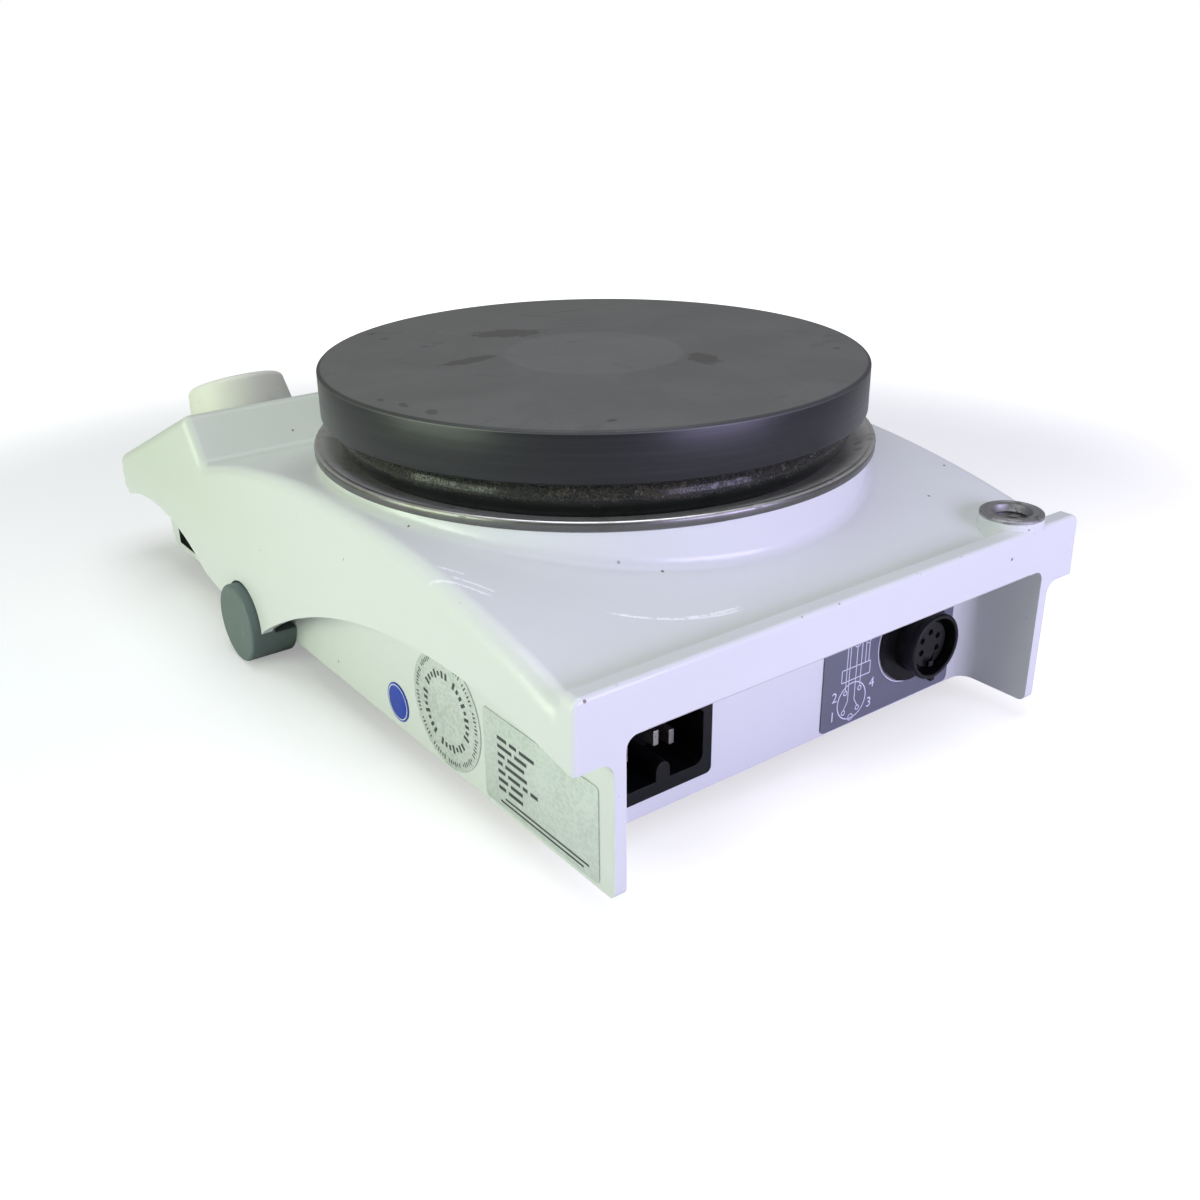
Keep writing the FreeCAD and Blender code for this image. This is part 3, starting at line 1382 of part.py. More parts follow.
def motor_standoffs():
    return group("motor_standoffs", *around("standoff", 3, s.standoff_pitch.value, standoff, 0,
                                            s.plate_centre, 30))


def motor_screw(name, x, y):
    return screw(name, s.base_screw, s.bracket_sheet * 4, s.base_head, x, y, s.motor_top, True)


def motor_screws():
    return group("motor_screws", *around("motor_screw", 3, s.standoff_pitch.value, motor_screw, 0,
                                         s.plate_centre, 30))


def magnet_carrier():
    """The bar on the shaft with a pocket for a magnet at each end."""
    bar = box("carrier_bar", s.carrier_length, s.carrier_width, s.carrier_thickness, 0, s.plate_centre,
              s.carrier_bottom)
    ends = on_axis("carrier_ends", s.carrier_length / 2, s.carrier_bottom,
                   s.carrier_bottom + s.carrier_thickness)
    blank = common("carrier_blank", bar, ends)
    bore = on_axis("carrier_bore", s.shaft_radius, s.carrier_bottom - 1, s.shaft_top)
    flat = box("carrier_flat", s.shaft_radius * 2, s.shaft_radius * 2, s.carrier_thickness, 0,
               s.plate_centre + s.shaft_radius * 1.8, s.carrier_bottom)
    pockets = [cylinder(name, s.magnet_radius, s.carrier_thickness, x, s.plate_centre,
                        s.carrier_bottom + s.carrier_thickness - s.magnet_depth)
               for name, x in side_sign("magnet_pocket", s.magnet_pitch)]
    return cut("magnet_carrier", blank, cut("carrier_shaft_hole", bore, flat), *pockets)


def drive_magnets():
    return group("drive_magnets", *[cylinder(name, s.magnet_radius, s.magnet_depth, x, s.plate_centre,
                                             s.carrier_bottom + s.carrier_thickness - s.magnet_depth)
                                    for name, x in side_sign("drive_magnet", s.magnet_pitch)])


# Control panel

def panel_overlay():
    """The dark sheet in the panel's recess."""
    middle_up = (s.overlay_low + s.overlay_high) / 2
    inset = s.overlay_sheet - s.overlay_proud
    gap = 0.15
    blank = panel_box("overlay_blank", (s.overlay_half_width - gap) * 2, s.overlay_high - s.overlay_low - gap * 2,
                      s.overlay_sheet, 0, middle_up, -inset)
    deep = s.overlay_sheet * 6
    tools = []
    for name, x in side_sign("overlay_pot", s.knob_offset):
        tools.append(panel_cylinder(name, s.pot_radius * 0.85, deep, x, s.knob_up, -deep / 2))
    for name, x in side_sign("overlay_lamp", s.lamp_offset):
        tools.append(panel_cylinder(name, s.lamp_radius, deep, x, s.rocker_up, -deep / 2))
    border = s.rocker_frame_border
    tools.append(panel_box("overlay_rocker", s.rocker_half_length * 2 + border, s.rocker_half_width * 2 + border,
                           deep, 0, s.rocker_up, -deep / 2))
    window_up = (s.window_bottom_up + s.window_top_up) / 2
    tools.append(panel_box("overlay_window", s.window_half_width * 2, s.window_top_up - s.window_bottom_up, deep,
                           0, window_up, -deep / 2))
    return cut("panel_overlay", blank, *tools)


def display_window():
    """The clear pane, flush with the overlay."""
    window_up = (s.window_bottom_up + s.window_top_up) / 2
    return panel_box("display_window", s.window_half_width * 2, s.window_top_up - s.window_bottom_up,
                     s.window_sheet, 0, window_up, s.overlay_proud - s.window_sheet)


def display_module():
    """The display behind the pane."""
    window_up = (s.window_bottom_up + s.window_top_up) / 2
    depth = 5.0
    return panel_box("display_module", s.window_half_width * 1.9, (s.window_top_up - s.window_bottom_up) * 0.9,
                     depth, 0, window_up, s.overlay_proud - s.window_sheet - depth)


def board_centre():
    return (s.rocker_up + s.window_top_up) / 2


def control_board():
    """The circuit board under the panel, with room for the switch and the potentiometers."""
    low = -s.control_board_depth - s.board_sheet
    length = s.window_top_up - s.rocker_up + s.control_board_overhang * 2
    blank = panel_box("control_blank", s.overlay_half_width * 1.55, length, s.board_sheet, 0, board_centre(), low)
    tools = [panel_cylinder(name, s.base_screw, s.board_sheet * 4, x, board_centre() + up, low - 1)
             for name, x, up in spacer_points()]
    return cut("control_board", blank, *tools)


def spacer_points():
    """Names and panel positions of the board spacers."""
    reach = s.overlay_half_width * 0.7
    return [
        ("spacer_point_1", -reach, -s.board_spacer_low),
        ("spacer_point_2", reach, -s.board_spacer_low),
        ("spacer_point_3", -reach, s.board_spacer_high),
        ("spacer_point_4", reach, s.board_spacer_high),
    ]


def board_spacers():
    """Four pillars from the panel's underside to the control board, each with its screw."""
    under = s.casting_wall * 1.1 * cosine(s.panel_slope)
    pillars = []
    for name, x, up in spacer_points():
        height = s.control_board_depth - under
        pillar = panel_cylinder(f"pillar_{name}", s.spacer_radius, height, x, board_centre() + up,
                                -s.control_board_depth)
        pillars.append(pillar)
    return group("board_spacers", *pillars)


def board_screws():
    """Screws that hold the control board to its spacers."""
    screws = []
    for name, x, up in spacer_points():
        low = -s.control_board_depth - s.board_sheet
        shank = panel_cylinder(f"shank_{name}", s.base_screw, s.board_sheet, x, board_centre() + up, low)
        head = panel_cylinder(f"head_{name}", s.base_head * 0.9, s.head_height, x, board_centre() + up,
                              low - s.head_height)
        screws.append(fuse(f"board_screw_{name}", shank, head))
    return group("board_screws", *screws)


def pot_out():
    """Where the potentiometer meets the panel's underside."""
    return -s.casting_wall * 1.1 * cosine(s.panel_slope)


def potentiometer(name, x):
    """Body, threaded neck and a bore for the spindle."""
    body = panel_cylinder(f"{name}_body", s.pot_radius, s.pot_depth, x, s.knob_up, pot_out() - s.pot_depth)
    neck = panel_cylinder(f"{name}_neck", s.pot_bush, neck_top() - pot_out() + 1, x, s.knob_up, pot_out() - 1)
    solid = fuse(f"{name}_solid", body, neck)
    bore = panel_cylinder(f"{name}_bore", s.spindle_radius + s.bush_bore_gap, neck_top() - spindle_bottom() + 1.3,
                          x, s.knob_up, spindle_bottom() - 0.3)
    return cut(name, solid, bore)


def neck_top():
    return s.nut_thickness - s.overlay_sheet + s.overlay_proud + 0.6


def spindle_bottom():
    return pot_out() - s.pot_depth + 2.0


def pot_nuts():
    """Hexagon nuts on both necks."""
    nuts = []
    low = s.overlay_proud - s.overlay_sheet
    for name, x in side_sign("pot_nut", s.knob_offset):
        hexagon = doc.addObject("Part::Prism", f"{name}_hexagon")
        hexagon.Polygon = 6
        bind(hexagon, "Circumradius", s.pot_bush + 1.9)
        bind(hexagon, "Height", s.nut_thickness)
        place_on_panel(hexagon, x, s.knob_up, low)
        bore = panel_cylinder(f"{name}_bore", s.pot_bush, s.nut_thickness * 3, x, s.knob_up, low - 1)
        nuts.append(cut(name, hexagon, bore))
    return group("pot_nuts", *nuts)


def knob_bottom():
    return s.overlay_proud + s.knob_gap


def knob_bore_top():
    return knob_bottom() + s.knob_height - s.knob_wall * 2


def spindle(name, x):
    low = spindle_bottom()
    return panel_cylinder(name, s.spindle_radius, knob_bore_top() - low, x, s.knob_up, low)


def knob(name, x):
    """A tapered knob, rounded at its rim, hollow below, with a line cut in its top."""
    foot = knob_bottom()
    top = foot + s.knob_height
    hub = s.spindle_radius + 2.2
    hub_foot = neck_top() + 0.5
    rim = s.knob_round
    outline = [
        (0, knob_bore_top()),
        (s.spindle_radius, knob_bore_top()),
        (s.spindle_radius, hub_foot),
        (hub, hub_foot),
        (hub, top - s.knob_wall - 1),
        (s.knob_radius - s.knob_wall, top - s.knob_wall - 1),
        (s.knob_foot_radius - s.knob_wall, foot),
        (s.knob_foot_radius - 0.3, foot),
        (s.knob_foot_radius, foot + 0.3),
        (s.knob_radius, top - rim, rim, 1),
        (s.knob_radius - rim, top),
        (0, top),
    ]
    solid = turned(f"{name}_turned", outline)
    line = doc.addObject("Part::Box", f"{name}_line")
    bind(line, "Length", s.pointer_length)
    bind(line, "Width", s.pointer_width)
    bind(line, "Height", s.pointer_depth * 2)
    start = s.knob_radius - rim - s.pointer_length + 0.6
    half = s.pointer_width / 2
    place(line, start * cosine(s.pointer_angle) + half * sine(s.pointer_angle),
          start * sine(s.pointer_angle) - half * cosine(s.pointer_angle), top - s.pointer_depth,
          Rotation(Vector(0, 0, 1), s.pointer_angle.value))
    marked = cut(name, solid, line)
    place_on_panel(marked, x, s.knob_up, as_size(0))
    return marked


def rocker_frame():
    """The switch housing with its bezel."""
    border = s.rocker_frame_border
    outer_x = s.rocker_half_length * 2 + border
    outer_y = s.rocker_half_width * 2 + border
    lift = s.overlay_proud
    body = panel_box("switch_body", outer_x - 0.2, outer_y - 0.2, s.rocker_depth + lift, 0, s.rocker_up,
                     -s.rocker_depth)
    bezel = panel_box("switch_bezel", outer_x + border, outer_y + border, 1.6, 0, s.rocker_up, lift)
    room = panel_box("switch_room", s.rocker_half_length * 2, s.rocker_half_width * 2, s.rocker_depth * 2, 0,
                     s.rocker_up, -s.rocker_depth * 0.7)
    solid = cut("switch_shell", fuse("switch_solid", body, bezel), room)
    pivot = rocker_axis("switch_pivot_hole", s.pivot_radius, outer_y + border * 2)
    return cut("rocker_frame", solid, pivot)


def rocker_out():
    """Height of the rocker's pivot over the panel."""
    return as_size(-2.6)


def rocker_axis(name, radius, length):
    """A cylinder across the switch along the panel's up direction."""
    item = cylinder(name, radius, length)
    half = length / 2
    up = s.rocker_up - half
    y = up * cosine(s.panel_slope) - rocker_out() * sine(s.panel_slope) - s.half_length
    z = up * sine(s.panel_slope) + rocker_out() * cosine(s.panel_slope) + s.nose_top
    place(item, 0, y, z, Rotation(Vector(-1, 0, 0), 90 - s.panel_slope.value))
    item.setExpression("Placement.Rotation.Angle", f"90 - {s.panel_slope.text}")
    return item


def rocker_pivot():
    return rocker_axis("rocker_pivot", s.pivot_radius, s.rocker_half_width * 2 + s.rocker_frame_border - 0.2)


def power_rocker():
    """The rocker, cut from a barrel so that each end can dip. It lies tipped to off."""
    half = s.rocker_half_length - s.rocker_gap * 2
    width = s.rocker_half_width - s.rocker_gap
    rise = s.rocker_proud
    outline = [
        (-half + 0.9, -3.4),
        (half - 0.9, -3.4),
        (half, rise + 1.1),
        (half - 0.8, rise + 1.6, 40.0, -1),
        (-half + 0.8, rise + 1.6),
        (-half, rise + 1.1),
    ]
    body = prism("rocker_bar", "XZ_Plane", outline, width * 2)
    bore = cylinder("rocker_bore", s.pivot_radius + s.running_gap, width * 4, 0, width * 2, 0,
                    Rotation(Vector(1, 0, 0), 90))
    solid = cut("rocker_level", body, bore)
    y = s.rocker_up * cosine(s.panel_slope) - rocker_out() * sine(s.panel_slope) - s.half_length
    z = s.rocker_up * sine(s.panel_slope) + rocker_out() * cosine(s.panel_slope) + s.nose_top
    tipped = group("power_rocker", solid)
    panel_turn = Rotation(Vector(1, 0, 0), s.panel_slope.value)
    place(tipped, 0, y, z, panel_turn.multiply(Rotation(Vector(0, 1, 0), s.rocker_tilt.value)))
    return tipped


def led_lenses():
    """Two indicator lenses, slightly domed over the overlay."""
    lenses = []
    for name, x in side_sign("lens", s.lamp_offset):
        stem = panel_cylinder(f"{name}_stem", s.lamp_radius, s.casting_wall * 2 + s.overlay_proud, x, s.rocker_up,
                              -s.casting_wall * 2)
        cap = cone(f"{name}_cap", s.lamp_radius + 0.5, s.lamp_radius - 0.4, 0.8)
        place_on_panel(cap, x, s.rocker_up, s.overlay_proud)
        lenses.append(fuse(name, stem, cap))
    return group("led_lenses", *lenses)


# Rear panel

def inlet_outline():
    """The plug well seen from the rear, bevelled at its top."""
    half = s.inlet_well_half_width
    low = s.inlet_height - s.inlet_well_half_height
    high = s.inlet_height + s.inlet_well_half_height
    bevel = s.inlet_well_bevel
    foot = s.inlet_well_round
    return [
        (s.inlet_offset - half + foot, low),
        (s.inlet_offset + half - foot, low, foot, 1),
        (s.inlet_offset + half, low + foot),
        (s.inlet_offset + half, high - bevel),
        (s.inlet_offset + half - bevel, high),
        (s.inlet_offset - half + bevel, high),
        (s.inlet_offset - half, high - bevel),
        (s.inlet_offset - half, low + foot, foot, 1),
    ]


def rounded_outline(half_width, half_height, centre_x, centre_z, corner_round):
    """A rectangle with rounded corners."""
    left, right = centre_x - half_width, centre_x + half_width
    low, high = centre_z - half_height, centre_z + half_height
    return [
        (left + corner_round, low),
        (right - corner_round, low, corner_round, 1),
        (right, low + corner_round),
        (right, high - corner_round, corner_round, 1),
        (right - corner_round, high),
        (left + corner_round, high, corner_round, 1),
        (left, high - corner_round),
        (left, low + corner_round, corner_round, 1),
    ]


def inlet_face():
    return s.rear_panel_reach + s.inlet_proud


def mains_inlet():
    """Flange and body round a plug well with a key rib."""
    edge = rounded_outline(s.inlet_half_width - s.inlet_fit, s.inlet_half_height - s.inlet_fit, s.inlet_offset,
                           s.inlet_height, s.inlet_corner)
    flange = prism("inlet_flange", "XZ_Plane", edge, s.inlet_flange)
    place(flange, 0, inlet_face() - s.inlet_flange / 2, 0)
    body = box("inlet_body", (s.inlet_cut_half_width - s.inlet_fit) * 2, s.inlet_depth,
               (s.inlet_cut_half_height - s.inlet_fit) * 2, s.inlet_offset, inlet_face() - s.inlet_depth / 2,
               s.inlet_height - s.inlet_cut_half_height + s.inlet_fit)
    solid = fuse("inlet_solid", flange, body)
    plug = prism("inlet_well", "XZ_Plane", inlet_outline(), s.inlet_well_depth * 2)
    place(plug, 0, inlet_face(), 0)
    hollow = cut("inlet_hollow", solid, plug)
    low = s.inlet_height - s.inlet_well_half_height - 1
    start = inlet_face() - s.inlet_well_depth - 0.5
    rib_length = s.inlet_well_depth + 0.5
    rib = box("inlet_rib", s.inlet_key_half_width * 2, rib_length, s.inlet_key_height - s.inlet_key_half_width + 1,
              s.inlet_offset, start + rib_length / 2, low)
    crown = cylinder("inlet_rib_crown", s.inlet_key_half_width, rib_length, s.inlet_offset, start,
                     low + s.inlet_key_height - s.inlet_key_half_width + 1, ALONG_Y)
    keyed = fuse("inlet_keyed", hollow, rib, crown)
    slots = [blade(f"inlet_slot_{index + 1}", *point) for index, point in enumerate(blade_points())]
    return cut("mains_inlet", keyed, *slots)


def blade_points():
    """Place and recess of the line, neutral and earth contacts."""
    return [
        (s.inlet_offset - s.blade_pitch, s.inlet_height - s.blade_row_gap, s.blade_recess),
        (s.inlet_offset + s.blade_pitch, s.inlet_height - s.blade_row_gap, s.blade_recess),
        (s.inlet_offset, s.inlet_height + s.blade_row_gap, s.earth_recess),
    ]


def blade(name, x, z, recess):
    """A contact blade from its tip in the well to its tag behind the body."""
    length = s.inlet_depth + 4 - recess
    return box(name, s.blade_half_width * 2, length, s.blade_half_height * 2, x,
               inlet_face() - recess - length / 2, z - s.blade_half_height)


def inlet_pins():
    return group("inlet_pins", *[blade(f"inlet_pin_{index + 1}", *point)
                                 for index, point in enumerate(blade_points())])


def sensor_socket():
    """The barrel with flange and end ring. Heights are distances from the panel."""
    reach = s.socket_reach
    outline = [
        (s.insert_radius, reach - s.socket_recess - s.socket_floor),
        (s.insert_radius, -8),
        (s.socket_bore - 0.2, -8),
        (s.socket_bore - 0.2, 0),
        (s.socket_flange_radius - 0.5, 0),
        (s.socket_flange_radius, 0.5),
        (s.socket_flange_radius, s.socket_flange),
        (s.socket_radius, s.socket_flange + 0.4),
        (s.socket_radius, reach - s.socket_ring - 0.6),
        (s.socket_ring_radius, reach - s.socket_ring),
        (s.socket_ring_radius, reach - 0.4),
        (s.socket_ring_radius - 0.4, reach),
        (s.socket_bore + 0.3, reach),
        (s.socket_bore, reach - 0.4),
        (s.socket_bore, reach - s.socket_recess - s.socket_floor),
    ]
    barrel = turned("socket_barrel", outline)
    place(barrel, -s.socket_offset, s.rear_panel_reach, s.socket_height, ALONG_Y)
    lug = box("socket_lug", s.socket_lug, s.socket_ring - 0.4, s.socket_lug, -s.socket_offset,
              s.rear_panel_reach + reach - s.socket_ring / 2, s.socket_height - s.socket_ring_radius - s.socket_lug / 2)
    return fuse("sensor_socket", barrel, lug)


def insert_blank(name, radius, low, high):
    return cylinder(name, radius, high - low, -s.socket_offset, s.rear_panel_reach + low, s.socket_height, ALONG_Y)


def socket_insert():
    """The contact carrier in the barrel, with five holes and a key rib."""
    face = s.socket_reach - s.socket_recess
    disc = insert_blank("insert_disc", s.insert_radius, as_size(-7), face)
    wide = insert_blank("insert_collar", s.socket_bore, face - s.socket_floor, face - s.socket_floor + 1.5)
    key = box("insert_key", 1.8, s.socket_recess * 0.7, 1.6, -s.socket_offset,
              s.rear_panel_reach + face + s.socket_recess * 0.35 - 0.5, s.socket_height - s.insert_radius + 0.2)
    solid = fuse("insert_solid", disc, wide, key)
    holes = [contact(f"insert_hole_{index + 1}", x, z, face) for index, (x, z) in enumerate(contact_points())]
    return cut("socket_insert", solid, *holes)


def contact_points():
    """Five contacts on three quarters of a circle."""
    points = []
    for index in range(5):
        angle = math.radians(-30 + 60 * index)
        points.append((-s.socket_offset + s.contact_pitch * math.cos(angle),
                       s.socket_height + s.contact_pitch * math.sin(angle)))
    return points


def contact(name, x, z, face):
    """A contact's room from the insert's face to its tail."""
    return cylinder(name, s.contact_radius, face + 9, x, s.rear_panel_reach - 9, z, ALONG_Y)


def socket_contacts():
    face = s.socket_reach - s.socket_recess - 1.2
    return group("socket_contacts", *[contact(f"socket_contact_{index + 1}", x, z, face)
                                      for index, (x, z) in enumerate(contact_points())])


def rear_label():
    """The dark plate round the socket."""
    width = s.label_right_reach - s.label_left_reach
    centre_x = -(s.label_right_reach + s.label_left_reach) / 2
    edge = rounded_outline(width / 2, (s.label_top - s.label_bottom) / 2, centre_x,
                           (s.label_top + s.label_bottom) / 2, s.label_corner)
    plate = prism("label_plate", "XZ_Plane", edge, s.label_sheet)
    place(plate, 0, s.rear_panel_reach + s.label_sheet / 2, 0)
    hole = cylinder("label_hole", s.socket_flange_radius + 0.4, s.label_sheet * 4, -s.socket_offset,
                    s.rear_panel_reach - s.label_sheet, s.socket_height, ALONG_Y)
    return cut("rear_label", plate, hole)


def side_stickers():
    """Three blank foils on the lower wall: a small disc, a large disc and a plate."""
    face = s.wall_half_width
    small = cylinder("small_foil", s.small_foil_radius, s.foil_sheet, face, s.small_foil_reach,
                     s.small_foil_height, ALONG_X)
    large = cylinder("large_foil", s.large_foil_radius, s.foil_sheet, face, s.large_foil_reach,
                     s.large_foil_height, ALONG_X)
    plate = box("plate_foil", s.foil_sheet, s.plate_foil_length, s.plate_foil_height, face + s.foil_sheet / 2,
                s.half_length - s.plate_foil_inset, s.plate_foil_bottom)
    return group("side_stickers", small, large, plate)


# Supply

def supply_board():
    """The power board on four spacers."""
    blank = box("supply_blank", s.supply_board_x, s.supply_board_y, s.board_sheet, 0, -s.supply_board_reach,
                s.supply_board_height)
    holes = [cylinder(f"supply_hole_{index + 1}", s.spacer_screw, s.board_sheet * 4, x, y,
                      s.supply_board_height - 1) for index, (x, y) in enumerate(supply_points())]
    return cut("power_board", blank, *holes)


def supply_points():
    """Corners of the power board."""
    across = s.supply_board_x / 2 - s.board_corner
    along = s.supply_board_y / 2 - s.board_corner
    return [
        (-across, -s.supply_board_reach - along),
        (across, -s.supply_board_reach - along),
        (-across, -s.supply_board_reach + along),
        (across, -s.supply_board_reach + along),
    ]


def power_board_spacers():
    """Four spacers with their screw heads."""
    low = s.wall_bottom + s.base_sheet
    pillars = []
    for index, (x, y) in enumerate(supply_points()):
        pillar = cylinder(f"supply_pillar_{index + 1}", s.spacer_radius, s.supply_board_height - low, x, y, low)
        shank = cylinder(f"supply_shank_{index + 1}", s.spacer_screw, s.board_sheet, x, y, s.supply_board_height)
        head = cylinder(f"supply_head_{index + 1}", s.spacer_radius, s.head_height, x, y,
                        s.supply_board_height + s.board_sheet)
        pillars.append(fuse(f"supply_spacer_{index + 1}", pillar, shank, head))
    return group("power_board_spacers", *pillars)


def on_board():
    return s.supply_board_height + s.board_sheet


def transformer():
    """Core, bobbin and winding."""
    y = -s.supply_board_reach + s.transformer_y
    below_board = s.control_board_depth + s.board_sheet + s.head_height
    front = -y + s.transformer_depth / 2 + s.winding_overhang
    height = panel_height(front, below_board) - s.transformer_clearance - on_board()
    core = box("transformer_core", s.transformer_width, s.transformer_depth, height, -s.transformer_x, y,
               on_board())
    winding = box("transformer_winding", s.winding_width, s.transformer_depth + s.winding_overhang * 2,
                  height - s.winding_step * 2, -s.transformer_x, y, on_board() + s.winding_step)
    return fuse("transformer", core, winding)


def capacitors():
    """Three cans, two in a row and one beside them."""
    second = s.capacitor_y - s.capacitor_pitch_y
    spots = [
        (s.capacitor_x, s.capacitor_y),
        (s.capacitor_x, second),
        (s.capacitor_x + s.capacitor_pitch_x, second - s.capacitor_step),
    ]
    cans = [cylinder(f"capacitor_{index + 1}", s.capacitor_radius, s.capacitor_height, x,
                     y - s.supply_board_reach, on_board()) for index, (x, y) in enumerate(spots)]
    return group("capacitors", *cans)


def triac_heatsink():
    """A block with five grooves between its fins."""
    middle_y = s.heatsink_y - s.supply_board_reach
    block = box("heatsink_block", s.heatsink_width, s.heatsink_side, s.heatsink_side, s.heatsink_x, middle_y,
                on_board())
    grooves = [box(f"heatsink_groove_{index + 1}", s.heatsink_width, s.heatsink_groove, s.heatsink_side * 2,
                   s.heatsink_x + s.heatsink_back, middle_y + s.heatsink_pitch * (index - 2),
                   on_board() - s.heatsink_side / 2) for index in range(5)]
    return cut("triac_heatsink", block, *grooves)


def terminal_block():
    """Mains terminals with three screw wells."""
    y = -s.supply_board_reach - s.terminal_y
    block = box("terminal_body", s.terminal_width, s.terminal_depth, s.terminal_height, s.terminal_x, y, on_board())
    wells = [cylinder(f"terminal_well_{index + 1}", s.terminal_well, s.terminal_well_depth * 2,
                      s.terminal_x * index, y, on_board() + s.terminal_height - s.terminal_well_depth)
             for index in range(3)]
    return cut("terminal_block", block, *wells)


def parts():
    """Every sub-part, by node name."""
    left, right = as_size(-1), as_size(1)
    return {
        "housing": housing(),
        "heating_plate": heating_plate(),
        "heater_element": heater_element(),
        "heater_clamp": heater_clamp(),
        "clamp_screws": clamp_screws(),
        "insulating_ring": insulating_ring(),
        "drip_tray": drip_tray(),
        "heat_shield": heat_shield(),
        "insulation_disc": insulation_disc(),
        "plate_posts": plate_posts(),
        "plate_screws": plate_screws(),
        "plate_sensor": plate_sensor(),
        "rod_insert": rod_insert(),
        "front_foot_left": front_foot("front_foot_left", left),
        "front_foot_right": front_foot("front_foot_right", right),
        "rear_foot_left": rear_foot("rear_foot_left", left),
        "rear_foot_right": rear_foot("rear_foot_right", right),
        "foot_screws": foot_screws(),
        "base_plate": base_plate(),
        "base_screws": base_screws(),
        "motor_can": motor_can(),
        "motor_stator": motor_stator(),
        "motor_rotor": motor_rotor(),
        "motor_shaft": motor_shaft(),
        "bearings": bearings(),
        "motor_bracket": motor_bracket(),
        "motor_standoffs": motor_standoffs(),
        "motor_screws": motor_screws(),
        "magnet_carrier": magnet_carrier(),
        "drive_magnets": drive_magnets(),
        "panel_overlay": panel_overlay(),
        "display_window": display_window(),
        "display_module": display_module(),
        "control_board": control_board(),
        "board_spacers": board_spacers(),
        "board_screws": board_screws(),
        "heat_pot": potentiometer("heat_pot", -s.knob_offset),
        "stir_pot": potentiometer("stir_pot", s.knob_offset),
        "heat_spindle": spindle("heat_spindle", -s.knob_offset),
        "stir_spindle": spindle("stir_spindle", s.knob_offset),
        "pot_nuts": pot_nuts(),
        "heat_knob": knob("heat_knob", -s.knob_offset),
        "stir_knob": knob("stir_knob", s.knob_offset),
        "rocker_frame": rocker_frame(),
        "rocker_pivot": rocker_pivot(),
        "power_rocker": power_rocker(),
        "led_lenses": led_lenses(),
        "mains_inlet": mains_inlet(),
        "inlet_pins": inlet_pins(),
        "sensor_socket": sensor_socket(),
        "socket_insert": socket_insert(),
        "socket_contacts": socket_contacts(),
        "rear_label": rear_label(),
        "side_stickers": side_stickers(),
        "power_board": supply_board(),
        "power_board_spacers": power_board_spacers(),
        "transformer": transformer(),
        "capacitors": capacitors(),
        "triac_heatsink": triac_heatsink(),
        "terminal_block": terminal_block(),
    }


def main():
    nodes = parts()
    doc.recompute()
    faults = [f"{item.Name}: {item.State}" for item in doc.Objects
              if "Invalid" in item.State or "Error" in item.State]
    for node, item in nodes.items():
        item.Label = node
        if item.Shape.isNull() or not item.Shape.isValid():
            faults.append(f"{node}: no valid shape")
    if faults:
        raise RuntimeError("; ".join(faults))
    os.makedirs("parts", exist_ok=True)
    for node, item in nodes.items():
        item.Shape.exportStep(f"parts/{node}.step")
        print(node, len(item.Shape.Solids), round(item.Shape.Volume))


main()
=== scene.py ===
"""Looks of a hotplate magnetic stirrer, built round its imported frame.

The frame is in metres: +X right and +Y to the rear seen from the control panel, +Z up, table at zero.
Sizes in this file are in millimetres and are turned into metres where a mesh is made.
"""

import logging
import math
from dataclasses import dataclass
from enum import Enum
from functools import cache, reduce
from typing import Callable, Iterable, Sequence, Union

import bmesh
import bpy
from mathutils import Matrix, Vector


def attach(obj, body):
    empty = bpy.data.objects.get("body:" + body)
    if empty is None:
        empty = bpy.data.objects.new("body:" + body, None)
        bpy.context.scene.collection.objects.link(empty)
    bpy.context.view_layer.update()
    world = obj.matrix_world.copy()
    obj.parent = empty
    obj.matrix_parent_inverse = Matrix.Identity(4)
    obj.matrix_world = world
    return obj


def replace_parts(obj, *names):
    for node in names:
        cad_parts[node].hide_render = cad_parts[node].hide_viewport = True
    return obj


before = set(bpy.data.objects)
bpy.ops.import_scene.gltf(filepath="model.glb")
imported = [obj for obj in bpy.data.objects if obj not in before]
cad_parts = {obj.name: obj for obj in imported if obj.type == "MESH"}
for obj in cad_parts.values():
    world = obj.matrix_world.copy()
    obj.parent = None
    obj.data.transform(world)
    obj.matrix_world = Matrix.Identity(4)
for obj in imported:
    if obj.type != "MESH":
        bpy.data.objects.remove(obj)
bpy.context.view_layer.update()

MM = 0.001
PLATE_CENTRE = (0.0, 36.2)
PLATE_TOP = 94.0
SHARP_ANGLE = 32.0
log = logging.getLogger("stirrer")

Colour = tuple[float, float, float]
Point = tuple[float, float]
Number = Union[int, float]


# Shader maths


